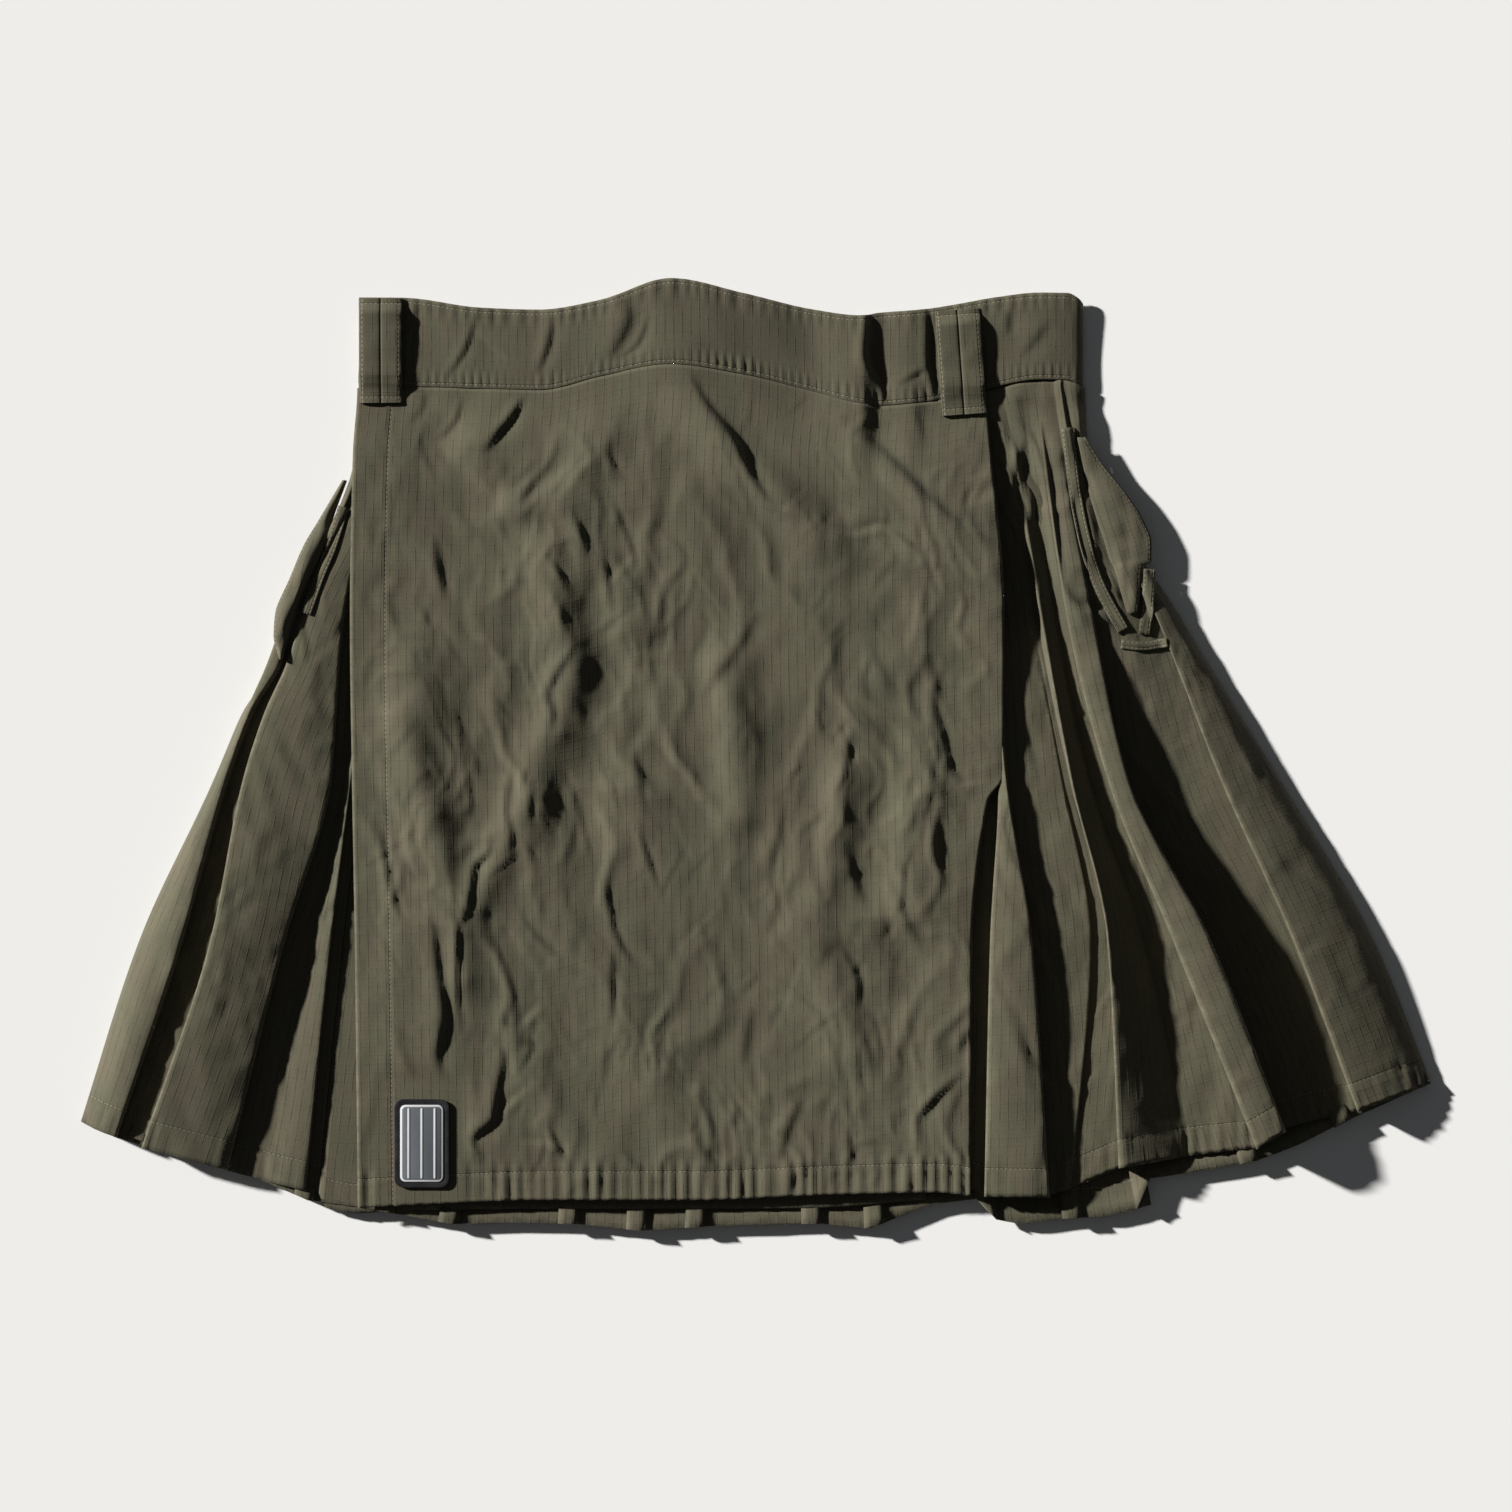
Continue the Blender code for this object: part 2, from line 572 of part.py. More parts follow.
def rounded_plate(name, middle, size, corner, low, thick, material):
    """A moulded plate with round corners and softened edges."""
    x, y = middle
    bpy.ops.mesh.primitive_cube_add(size=1, location=(x * MM, y * MM, (low + thick / 2) * MM))
    obj = bpy.context.object
    obj.name = name
    obj.data.name = name
    obj.scale = (size[0] * MM, size[1] * MM, thick * MM)
    bpy.ops.object.transform_apply(location=False, rotation=False, scale=True)
    for edge in obj.data.edges:
        a, b = (obj.data.vertices[v].co for v in edge.vertices)
        upright = abs(a.z - b.z) > 0.5 * thick * MM
        weights = obj.data.attributes.get("bevel_weight_edge")
        if weights is None:
            weights = obj.data.attributes.new("bevel_weight_edge", "FLOAT", "EDGE")
        weights.data[edge.index].value = 1.0 if upright else 0.0
    corners = obj.modifiers.new("corners", "BEVEL")
    corners.limit_method = "WEIGHT"
    corners.width = corner * MM
    corners.segments = 5
    soft = obj.modifiers.new("soft_edge", "BEVEL")
    soft.limit_method = "ANGLE"
    soft.angle_limit = np.radians(50)
    soft.width = 0.4 * MM
    soft.segments = 2
    for collection in list(obj.users_collection):
        collection.objects.unlink(obj)
    kilt.objects.link(obj)
    obj.data.materials.append(materials[material])
    return obj


for old in list(bpy.data.objects):
    bpy.data.objects.remove(old, do_unlink=True)

kilt = bpy.data.collections.new("utility_kilt")
bpy.context.scene.collection.children.link(kilt)
materials = {name: principled(name) for name in MATERIALS}

# Waistband
front_band = band_front_grid()
cloth("waistband_front", front_band, BAND, "band_cloth")
cloth("waistband_back", band_back_grid()[::-1], BAND, "band_cloth", even=True)

# Panels of the skirt
right_pleats = pleated_panel(RIGHT_FOLDS, front_seam)
left_pleats = pleated_panel(LEFT_FOLDS, inner_seam, LEFT_NIP)
apron = apron_grid()
under_apron = under_apron_grid(left_pleats)
back = back_grid(left_pleats, right_pleats)
cloth("right_pleats", right_pleats, CLOTH, "pleat_cloth")
cloth("left_pleats", left_pleats, CLOTH, "pleat_cloth")
cloth("under_apron", under_apron, CLOTH, "apron_cloth")
cloth("over_apron", apron, CLOTH, "apron_cloth")
cloth("pleated_back", back, CLOTH, "back_cloth", even=True)

# Belt loops
cloth("belt_loop_left", loop_grid([apron], front_band, LEFT_LOOP[:2], LEFT_LOOP[2]), LOOP, "loop_cloth")
cloth("belt_loop_right", loop_grid([apron], front_band, RIGHT_LOOP[:2], RIGHT_LOOP[2]), LOOP, "loop_cloth")

# Pockets
cloth("right_pocket_welt", strip_grid([right_pleats], *RIGHT_WELT, CLOTH, 16), CLOTH, "pocket_cloth")
cloth("right_pocket_cloth", gape_grid([right_pleats], *RIGHT_GAPE), CLOTH, "pocket_cloth")
cloth("right_pocket_strip", strip_grid([right_pleats], *RIGHT_BACK_STRIP, CLOTH, 8), CLOTH, "pocket_cloth")
cloth("right_pocket_bar", strip_grid([right_pleats], *RIGHT_BAR, CLOTH, 6), CLOTH, "pocket_cloth")
cloth("left_pocket_welt", strip_grid([left_pleats], *LEFT_WELT, CLOTH, 12), CLOTH, "pocket_cloth")
cloth("left_pocket_cloth", gape_grid([left_pleats], *LEFT_GAPE), CLOTH, "pocket_cloth")

# Rubber patch
patch_x, patch_y = PATCH_MIDDLE
patch_low = max(
    lying_on([apron], patch_x + i * PATCH_SIZE[0] / 4, patch_y + j * PATCH_SIZE[1] / 4, CLOTH / 2 + LIE_GAP, bare=12)
    for i in (-2, -1, 0, 1, 2)
    for j in (-2, -1, 0, 1, 2)
)
rounded_plate("rubber_patch", PATCH_MIDDLE, PATCH_SIZE, PATCH_CORNER, patch_low, PATCH_THICK, "patch_rubber")
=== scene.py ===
# %% [markdown]
# # The looks of a utility kilt that lies flat
# The kilt is a wrap of ripstop cotton, laid on its back with the apron up and the side pleats fanned out.
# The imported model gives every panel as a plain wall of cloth. Here each panel is made again as a finer and
# thinner shell on the same middle surface, with its creases, puckers and rolled folds, and gets its weave.

from collections import namedtuple

import bpy
import numpy as np
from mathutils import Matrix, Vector
from mathutils.bvhtree import BVHTree


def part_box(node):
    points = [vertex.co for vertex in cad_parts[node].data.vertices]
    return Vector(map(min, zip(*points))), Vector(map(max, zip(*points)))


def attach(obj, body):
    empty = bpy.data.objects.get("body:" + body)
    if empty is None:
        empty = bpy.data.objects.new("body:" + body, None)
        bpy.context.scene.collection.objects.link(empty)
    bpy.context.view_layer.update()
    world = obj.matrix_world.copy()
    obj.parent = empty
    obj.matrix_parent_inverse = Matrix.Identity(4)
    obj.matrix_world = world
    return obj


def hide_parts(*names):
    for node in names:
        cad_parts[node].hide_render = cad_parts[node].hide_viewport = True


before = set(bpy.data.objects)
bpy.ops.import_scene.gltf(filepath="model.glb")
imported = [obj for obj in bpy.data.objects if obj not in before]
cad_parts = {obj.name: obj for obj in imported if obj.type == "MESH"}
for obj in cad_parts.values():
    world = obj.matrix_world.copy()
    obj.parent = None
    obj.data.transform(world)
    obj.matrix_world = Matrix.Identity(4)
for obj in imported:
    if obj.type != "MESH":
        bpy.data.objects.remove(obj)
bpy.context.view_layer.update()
MM = 0.001
print("solids:", len(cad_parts))

# %% [markdown]
# ## Camera, light and floor
# The photograph looks straight down, with the waistband at the top. A long lens from high above keeps the
# outline true. The light is a low lamp at the upper left, small enough to leave the deep folds dark, and a
# weak even fill. The floor is plain and pale.

# %% Camera, light and floor
FRAME_PX = 1512
MM_PER_PX = 0.68
LENS = 150.0
SENSOR = 36.0
CAMERA_ABOVE_CLOTH = 0.01
LAMP_AZIMUTH = 155.0
LAMP_ELEVATION = 21.0
LAMP_ENERGY = 8.2
LAMP_SPREAD = 3.0
FILL_STRENGTH = 0.06
FLOOR_COLOUR = (0.86, 0.86, 0.85, 1)
FLOOR_Z = -0.0004

camera_data = bpy.data.cameras.new("camera")
camera_data.lens = LENS
camera_data.sensor_width = SENSOR
camera = bpy.data.objects.new("camera", camera_data)
camera_height = FRAME_PX * MM_PER_PX * MM * LENS / SENSOR + CAMERA_ABOVE_CLOTH
camera.location = (0, -MM_PER_PX * MM, camera_height)
bpy.context.scene.collection.objects.link(camera)
bpy.context.scene.camera = camera

lamp_data = bpy.data.lights.new("lamp", "SUN")
lamp_data.energy = LAMP_ENERGY
lamp_data.angle = np.radians(LAMP_SPREAD)
lamp_data.color = (1.0, 0.985, 0.96)
lamp = bpy.data.objects.new("lamp", lamp_data)
towards = Vector((
    np.cos(np.radians(LAMP_AZIMUTH)) * np.cos(np.radians(LAMP_ELEVATION)),
    np.sin(np.radians(LAMP_AZIMUTH)) * np.cos(np.radians(LAMP_ELEVATION)),
    np.sin(np.radians(LAMP_ELEVATION)),
))
lamp.rotation_euler = towards.to_track_quat("Z", "Y").to_euler()
bpy.context.scene.collection.objects.link(lamp)

world = bpy.data.worlds.new("fill")
world.use_nodes = True
world.node_tree.nodes["Background"].inputs["Color"].default_value = (0.93, 0.96, 1.0, 1)
world.node_tree.nodes["Background"].inputs["Strength"].default_value = FILL_STRENGTH
bpy.context.scene.world = world
bpy.context.scene.view_settings.view_transform = "Standard"

bpy.ops.object.select_all(action="DESELECT")
bpy.ops.mesh.primitive_plane_add(size=8, location=(0, 0, FLOOR_Z))
floor = bpy.context.object
floor.name = "floor"
floor_paint = bpy.data.materials.new("floor_paint")
floor_paint.use_nodes = True
floor_paint.node_tree.nodes["Principled BSDF"].inputs["Base Color"].default_value = FLOOR_COLOUR
floor_paint.node_tree.nodes["Principled BSDF"].inputs["Roughness"].default_value = 0.9
floor.data.materials.append(floor_paint)
print("camera height:", round(camera.location.z, 3), "m")

# %% [markdown]
# ## Sizes of the kilt
# These are the sizes of the panels in millimetres: X across, Y from the hem towards the waist, Z up. The
# outlines are those of the solids. A few ridges of the pleats stand higher and the valleys between them lie
# lower, as their shadows show. A fold is a line from waist to hem, with its place, its height, how deep and
# how far its tuck turns under it, at six distances below the waist line, and its whole length.

# %% Sizes of the pleats
WAIST_Y = 250.0
INNER_SEAM_Y = 240.3
SEAM_GAP = 0.45
SHELL = 0.9
DOWN = (0, 43, 158, 267, 376)
FLAT = (0, 0, 0, 0, 0, 0)
LEFT_NIP = (60, 19, 11)
NIP_SHARE = {"side_foot": 1, "side": 1, "outer_pleat_right": 0.6, "first_pleat_left": 0.25}
Fold = namedtuple("Fold", "name turn x z drop tuck length")

RIGHT_FOLDS = (
    Fold("tuck_end", "soft", (125, 128, 135, 135, 132, 128), (5.4, 5.5, 6, 5.5, 5.5, 5.5),
         FLAT, FLAT, 540),
    Fold("first_pleat_left", "left", (132, 135, 149, 165, 158.5, 154.5), (5.4, 6, 9, 12, 17, 15),
         (0, 0, 2, 6, 10, 8.5), (-2.5, -2.5, -2, 1, 4, 4), 550),
    Fold("first_pleat_right", "right", (140, 144, 160.5, 170, 188, 200), (5.6, 7, 11, 15, 19, 16),
         (0, 0.5, 4, 7, 10, 8), (-2.5, -2.5, -2, 0, 4, 3), 550.5),
    Fold("second_pleat_right", "right", (155.5, 166, 186, 208, 228.5, 214), (5.8, 6, 6, 7, 9, 7.5),
         (0, 0, 0.5, 1, 3, 2), (-2.5, -2.5, -2.5, 0, 4, 0), 545),
    Fold("third_pleat_left", "left", (166, 176, 194.5, 214, 238, 246), (5.6, 6.5, 12, 19, 26, 22),
         (0, 0.5, 6.5, 13, 19, 16), (-2.5, -2.5, -2.5, 0, 4, 3), 530.5),
    Fold("third_pleat_middle", "soft", (180, 186, 203, 226, 262, 294), (7, 5.5, 5, 5, 5.5, 5.5),
         FLAT, FLAT, 523),
    Fold("fourth_pleat_left", "left", (193, 197, 212, 238.5, 282, 339), (6.5, 8, 14, 24, 33, 29),
         (0, 1, 6.5, 15, 24, 21), (-2.5, -2, 0, 3, 5, 4), 517),
    Fold("fourth_pleat_right", "right", (200, 206.5, 228.5, 252.5, 308, 359),
         (6.5, 8.5, 14.5, 26, 35, 29), (0, 0.5, 5, 18, 28, 22), (-2.5, -2.5, -1, 3, 5, 4), 505),
    Fold("fifth_pleat_middle", "soft", (207, 214, 252, 283, 335, 383), (8, 10, 9.5, 6.5, 5, 5.5),
         FLAT, FLAT, 498),
    Fold("fifth_pleat_right", "left", (211, 219, 273, 315.5, 364, 408), (7, 8, 13, 18, 24, 20),
         (0, 1, 7.5, 12.5, 18.5, 14), (-2.5, -1, 2.5, 3.5, 4.5, 4), 492),
    Fold("side_seam", "soft", (217.5, 223, 283, 344, 407, 448), (7.5, 9, 10, 12, 13, 10),
         FLAT, FLAT, 478),
    Fold("side", "soft", (223, 225.3, 289, 355.5, 419.5, 459), (5.5, 5, 5, 5, 4.5, 4), FLAT, FLAT, 474),
    Fold("side_foot", "soft", (223.7, 225.8, 289.7, 356.3, 420.2, 459.7), (1.5, 0.3, 0.3, 0.3, 0.3, 0.3),
         FLAT, FLAT, 473.7),
)

LEFT_FOLDS = (
    Fold("side_foot", "soft", (-270.7, -272.7, -324.4, -369.2, -419.7, -459.7),
         (1.5, 0.3, 0.3, 0.3, 0.3, 0.3), FLAT, FLAT, 499.6),
    Fold("side", "soft", (-270, -272, -323.7, -368.5, -419, -459), (3.5, 4.5, 5, 5, 4.5, 4),
         FLAT, FLAT, 500),
    Fold("outer_middle", "soft", (-268, -270.5, -321, -364.8, -406, -448), (4.6, 6.5, 10.5, 12, 14, 12.5),
         FLAT, FLAT, 505),
    Fold("outer_pleat_right", "right", (-266, -269, -318.5, -360.5, -389, -434), (5.4, 7, 12, 14, 17, 15),
         (0, 1, 5, 8, 11, 9), (-2.5, -2.5, -2, -1, 3, 3), 510),
    Fold("first_pleat_left", "left", (-259, -262, -309, -348.5, -370.5, -417.5),
         (5.5, 6.5, 12, 18, 25, 19), (0, 0.5, 3, 9, 15, 10), (-2.5, -2.5, -2, 2, 5, 4), 516.5),
    Fold("first_pleat_right", "right", (-252, -256, -281, -288, -319, -358.5), (5.5, 6.5, 11, 14, 17, 14),
         (0, 0.5, 4, 7.5, 9.5, 7.5), (-2.5, -2.5, 0, 4, 5, 4), 532),
    Fold("second_pleat_middle", "soft", (-246, -250, -272, -282, -305, -333), (5.5, 5.5, 5, 5, 6, 7),
         FLAT, FLAT, 540),
    Fold("second_pleat_right", "right", (-240, -244, -262, -275, -288, -305),
         (5.5, 6, 8, 9.5, 11.5, 10.5), (0, 0.4, 2, 3.6, 5.2, 4.4), (-2.5, -2, 2, 5, 6, 6), 546.5),
    Fold("under_edge", "soft", (-234.5, -238.5, -256, -268, -281, -298), (5.5, 5.5, 5.5, 5.5, 5.5, 5.5),
         FLAT, FLAT, 548),
)
print("folds:", len(RIGHT_FOLDS) + len(LEFT_FOLDS))

# %% Sizes of the band and the aprons
# Front stretch of the band: place across, seam height, top height, height of its middle off the floor
BAND_FRONT = (
    (-270.2, 250.2, 311, 6.9),
    (-240, 250.9, 310.8, 6.9),
    (-188, 249.6, 304, 8),
    (-147, 248.6, 302.6, 9),
    (-106, 257.7, 309, 11),
    (-58, 265.9, 323.7, 14),
    (-10, 259.5, 314, 12),
    (37, 248.2, 303, 9),
    (71, 239.5, 298.5, 12),
    (84, 238, 300.6, 7.6),
    (105, 239.4, 302, 9.5),
    (118, 241, 303.4, 7.6),
    (140, 245.5, 306.9, 7.4),
    (163, 250.8, 311, 7.4),
    (193, 255.7, 314.2, 8),
    (212, 255.4, 314, 7),
    (219, 252.8, 310.5, 5.9),
    (222, 250.9, 307, 3.1),
)
BAND_BACK_TOP_Y = 296.5
BAND_BACK_Z = 1.2
BAND_INNER_Z = 4.0
BAND_INNER_END_X = 115.0
BAND_FOLD_LEFT_X = -268.0
BAND_BACK_RIGHT_X = 220.3

APRON_LIE_Z = 12.0
APRON_SETTLE = 70.0
# Height, free edge at the left, edge at the right
APRON_EDGES = (
    (262, -271.3, 154),
    (250, -271.3, 155.7),
    (207, -274, 159.8),
    (92, -276, 168.6),
    (-14, -274.7, 168.4),
    (-31, -274.4, 157.8),
    (-126, -272.7, 146.9),
    (-309, -270.6, 145.5),
)
APRON_HEM = (
    (-272, -308), (-206, -304.6), (-150, -302.5), (-38, -302.5), (35, -299.5), (122, -297.2),
    (146, -299.5),
)
UNDER_APRON_RIGHT = ((240, 112), (0, 114), (-310, 116))
UNDER_APRON_HEM = (
    (-312, -296), (-295, -307.5), (-271, -311.8), (-240, -310), (-150, -309), (35, -308.5),
    (116, -302.5),
)
# Places of the back's folds along the hem
BACK_FOLDS_HEM = (-417, -360, -304.6, -249.6, -206, -124.4, -78, -38, 41.5, 84, 160, 219, 268.5, 339, 402)
BACK_HEM = (
    (-459, -248), (-417, -263), (-358, -280), (-304.6, -303), (-270.6, -307.5), (-249.6, -311.4),
    (-206, -319.3), (-174.8, -318.2), (-124.4, -318.9), (-78, -323.7), (-38, -321), (-8.8, -320),
    (41.5, -318.7), (78, -322.3), (117, -306), (160, -301), (162.3, -316), (180, -319),
    (207, -315.5), (240, -314), (268.5, -306), (270.8, -288), (315, -281), (343, -275.5),
    (370, -265), (397, -251), (424, -240), (459, -224),
)
print("band stations:", len(BAND_FRONT))

# %% [markdown]
# ## Creases
# Cotton that was folded away keeps sharp creases. Each one here is a short line placed where the
# photograph shows a shaded streak: the cloth stands a little proud on one side of the line and dips on the
# other, and dies away at both ends. Broad swells lie under them. All of it only lifts or lowers the cloth at
# a place, so layers that lie on each other never swap.

# %% Broad swells and creases of the apron
# Height of a ridge, below 0 for a trough, its half width, and the line it follows
APRON_SWELLS = (
    (4.5, 24, ((-232, 60), (-226, -60), (-240, -150), (-222, -176))),
    (4, 22, ((-62, 262), (0, 208), (84, 164), (170, 120))),
    (3.5, 22, ((-110, 220), (-120, 150), (-90, 90))),
    (3, 20, ((96, 60), (110, -20), (96, -110))),
    (6, 15, ((-50, 248), (-12, 192), (40, 156))),
    (4, 12, ((60, 145), (110, 130), (166, 104))),
    (5, 14, ((48, 222), (100, 180), (164, 136))),
    (-3.0, 13, ((-25, 250), (15, 200), (50, 168))),
    (-3, 13, ((-195, 240), (-218, 210), (-180, 180))),
    (4, 13, ((-180, 236), (-196, 205), (-160, 165))),
    (4.5, 14, ((-145, 140), (-125, 60), (-150, -20), (-190, -100))),
    (-3, 14, ((-110, 110), (-98, 40), (-118, -40))),
    (4, 14, ((-240, 20), (-215, -60), (-200, -150))),
    (4.5, 14, ((-20, 60), (-10, -40))),
    (3.5, 15, ((60, -20), (40, -120), (70, -200))),
    (-3, 15, ((100, 40), (80, -70), (105, -160))),
)
# Drop to the left hand of the line's direction, below 0 for the right hand, half width, and the line
APRON_CREASES = (
    (3.0, 7, ((-46, 262), (-35, 241), (-14, 214), (-1, 187), (13, 170), (31, 164))),
    (2.0, 4, ((39, 162), (65, 150), (86, 155), (112, 138), (140, 125), (164, 112))),
    (3.0, 8, ((57, 227), (85, 208), (103, 190), (122, 171), (140, 156), (164, 148))),
    (1.3, 3, ((-199, 245), (-204, 228), (-219, 212))),
    (-1.8, 5, ((-219, 212), (-204, 199), (-192, 190), (-180, 180))),
    (2.0, 5, ((-157, 246), (-167, 228), (-175, 219), (-185, 205))),
    (1.6, 8, ((-205, 168), (-196, 158), (-189, 149))),
    (1.9, 7, ((-218, 148), (-215, 125), (-209, 105))),
    (1.0, 4, ((-225, 99), (-222, 86))),
    (1.4, 4, ((-143, 137), (-134, 125), (-126, 113))),
    (1.8, 6, ((-134, 107), (-131, 90), (-124, 77))),
    (2.4, 6, ((-122, 76), (-133, 58), (-141, 41), (-138, 28), (-143, 7))),
    (1.5, 4, ((-126, 169), (-118, 150), (-114, 130))),
    (1.5, 4, ((-106, 145), (-101, 125), (-97, 92))),
    (1.3, 4, ((-103, 209), (-96, 196), (-89, 188))),
    (1.4, 5, ((-99, 177), (-85, 142), (-80, 125))),
    (1.6, 9, ((2, 98), (-8, 79), (-39, 37))),
    (1.2, 8, ((75, 79), (94, 42))),
    (1.2, 8, ((116, 70), (127, 33))),
    (2.2, 5, ((-154, -7), (-158, -19), (-153, -28), (-153, -47))),
    (1.8, 5, ((-165, -7), (-169, -40), (-166, -54), (-168, -70))),
    (2.4, 5, ((-180, -52), (-180, -64), (-190, -75), (-195, -103), (-202, -120))),
    (1.8, 7, ((-243, -19), (-239, -47), (-230, -64), (-222, -78))),
    (1.5, 7, ((-239, -75), (-225, -89), (-209, -98))),
    (3.0, 8, ((-222, -100), (-218, -124), (-215, -150), (-211, -176), (-216, -206), (-206, -228))),
    (2.0, 4, ((-208, -103), (-202, -120), (-203, -150), (-200, -190))),
    (1.8, 5, ((-162, -105), (-150, -122), (-143, -129), (-132, -138), (-113, -147))),
    (1.8, 5, ((-103, -82), (-97, -115), (-87, -136), (-70, -148))),
    (1.4, 4, ((-80, -47), (-73, -71), (-64, -94))),
    (1.5, 8, ((-85, 5), (-78, -15), (-76, -38))),
    (1.2, 4, ((-134, -7), (-122, -31), (-115, -57), (-111, -75))),
    (1.9, 6, ((-167, -166), (-171, -182), (-162, -189), (-150, -194))),
    (-1.4, 4, ((-145, -168), (-160, -185))),
    (1.6, 6, ((-97, -133), (-97, -154), (-99, -185))),
    (2.8, 7, ((-178, -191), (-171, -208), (-174, -222), (-178, -247), (-192, -262), (-188, -278),
              (-183, -292))),
    (-1.6, 4, ((-153, -224), (-178, -247))),
    (1.5, 5, ((-160, -261), (-136, -266), (-129, -276))),
    (1.4, 5, ((-143, -250), (-129, -275))),
    (1.4, 5, ((-92, -268), (-80, -280), (-64, -290))),
    (1.4, 10, ((-101, -195), (-104, -222))),
    (1.7, 9, ((20, -29), (16, -55), (9, -83), (15, -99), (7, -123))),
    (1.5, 9, ((64, 19), (61, -9), (57, -27))),
    (1.5, 8, ((64, -66), (68, -84), (76, -103))),
    (1.6, 6, ((57, -129), (70, -156), (70, -175))),
    (1.6, 8, ((88, -77), (105, -116), (114, -132))),
    (1.4, 8, ((120, -51), (124, -73), (138, -86))),
    (2.4, 7, ((120, 40), (124, 26), (131, -3), (142, -20), (158, -16))),
    (1.6, 6, ((146, -184), (137, -203))),
    (1.9, 10, ((-2, -170), (-5, -190), (-8, -212))),
    (1.2, 4, ((13, -153), (35, -168), (50, -182))),
    (2.4, 6, ((144, -214), (122, -233), (111, -247), (111, -275))),
    (1.8, 5, ((63, -249), (65, -271), (72, -284))),
    (1.6, 8, ((35, -229), (22, -255), (17, -279))),
    (1.3, 6, ((-39, -221), (-29, -236))),
    (1.2, 6, ((-13, -238), (-15, -255))),
    (1.3, 6, ((-35, -270), (-24, -281))),
)
BAND_CREASES = (
    (1.1, 4, ((-230, 309), (-233, 292), (-239, 270))),
    (1.2, 4, ((-190, 303), (-196, 280), (-212, 254))),
    (1.5, 5, ((-137, 303), (-141, 280), (-149, 258))),
    (0.9, 4, ((-168, 270), (-190, 286))),
    (2.4, 13, ((-96, 318), (-86, 298), (-100, 268))),
    (1.0, 4, ((-72, 300), (-80, 280), (-92, 270))),
    (3.8, 6, ((77, 302), (75, 272), (84, 254), (90, 236))),
    (3.4, 5, ((117, 306), (117, 272), (121, 250), (125, 236))),
    (-1.2, 4, ((97, 252), (117, 264))),
    (1.2, 6, ((172, 305), (172, 285))),
    (-1.0, 8, ((180, 270), (200, 295))),
)
print("creases:", len(APRON_CREASES) + len(BAND_CREASES))

# %% Creases of the pleats
PLEAT_CREASES = (
    (4.2, 9, ((166, 222), (178, 206), (176, 180), (184, 158), (192, 120))),
    (3.4, 6, ((184, 214), (180, 196), (190, 172), (188, 150))),
    (3.6, 5, ((194, 228), (199, 190), (204, 150), (209, 112))),
    (1.4, 5, ((176, 228), (190, 214), (196, 190))),
    (1.8, 6, ((172, 190), (186, 176), (190, 160))),
    (4.5, 7, ((208, 116), (222, 100), (236, 96), (247, 82))),
    (1.2, 5, ((217, 104), (228, 84))),
    (1.0, 5, ((176, 40), (184, 10), (192, -20))),
    (1.3, 6, ((168, -60), (186, -90), (204, -120))),
    (1.2, 5, ((176, -110), (198, -140), (208, -176))),
    (1.3, 6, ((172, -180), (190, -212), (214, -236))),
    (1.2, 6, ((160, -150), (180, -190), (190, -240))),
    (0.9, 5, ((222, 30), (232, 10))),
    (0.9, 5, ((250, -60), (262, -84))),
    (1.0, 6, ((300, -170), (314, -178))),
    (1.0, 6, ((318, -214), (334, -220))),
    (0.9, 6, ((250, 60), (262, 30), (262, 0))),
    (0.9, 7, ((280, -20), (296, -44))),
    (1.0, 6, ((316, 26), (334, 2), (346, -30))),
    (0.9, 6, ((345, -60), (372, -86), (392, -100))),
    (1.0, 6, ((386, -130), (402, -170))),
    (0.8, 6, ((352, -70), (368, -92))),
    (1.1, 8, ((-296, 66), (-300, 40), (-290, 24))),
    (1.0, 8, ((-330, 20), (-318, -4), (-306, -20))),
    (1.3, 6, ((-352, -86), (-366, -106), (-382, -122))),
    (1.1, 5, ((-340, -92), (-356, -110))),
    (1.0, 7, ((-322, -40), (-336, -64), (-338, -92))),
    (1.0, 7, ((-396, -130), (-386, -170), (-396, -200))),
    (0.9, 6, ((-358, -160), (-372, -190))),
    (1.0, 6, ((-430, -150), (-440, -190))),
    (0.9, 6, ((-400, -110), (-410, -130))),
    (1.1, 6, ((-262, 158), (-270, 140), (-262, 122))),
    (1.0, 5, ((-270, 118), (-278, 100))),
)
print("pleat creases:", len(PLEAT_CREASES))

# %% [markdown]
# ## Helpers for cloth
# A panel is a grid of points, rows from waist to hem and columns from left to right. Heights between the
# measured places are read from a curve that never overshoots. All noise comes from seeded tables, so each run
# gives the same cloth.

# %% Read a row of sizes at any place
def smooth(at, values, where):
    at = np.asarray(at, float)
    values = np.asarray(values, float)
    if at[0] > at[-1]:
        at = at[::-1]
        values = values[::-1]
    where = np.clip(where, at[0], at[-1])
    step = np.diff(at)
    slope = np.diff(values) / step
    lean = np.zeros(len(at))
    both = slope[:-1] * slope[1:]
    total = slope[:-1] + slope[1:]
    lean[1:-1] = np.where(both > 0, 2 * both / np.where(both > 0, total, 1), 0)
    lean[0] = slope[0]
    lean[-1] = slope[-1]
    cell = np.clip(np.searchsorted(at, where, side="right") - 1, 0, len(step) - 1)
    t = (where - at[cell]) / step[cell]
    rise = values[cell + 1] - values[cell]
    start = lean[cell] * step[cell]
    finish = lean[cell + 1] * step[cell]
    square = 3 * rise - 2 * start - finish
    cube = start + finish - 2 * rise
    return values[cell] + t * start + t * t * square + t ** 3 * cube


def table(rows, column, where):
    rows = np.array(rows, float)
    return smooth(rows[:, 0], rows[:, column], where)


def straight(rows, where):
    rows = np.array(rows, float)
    return np.interp(where, rows[:, 0], rows[:, 1])


print("seam at the middle:", round(float(table(BAND_FRONT, 1, 0)), 1), "mm")


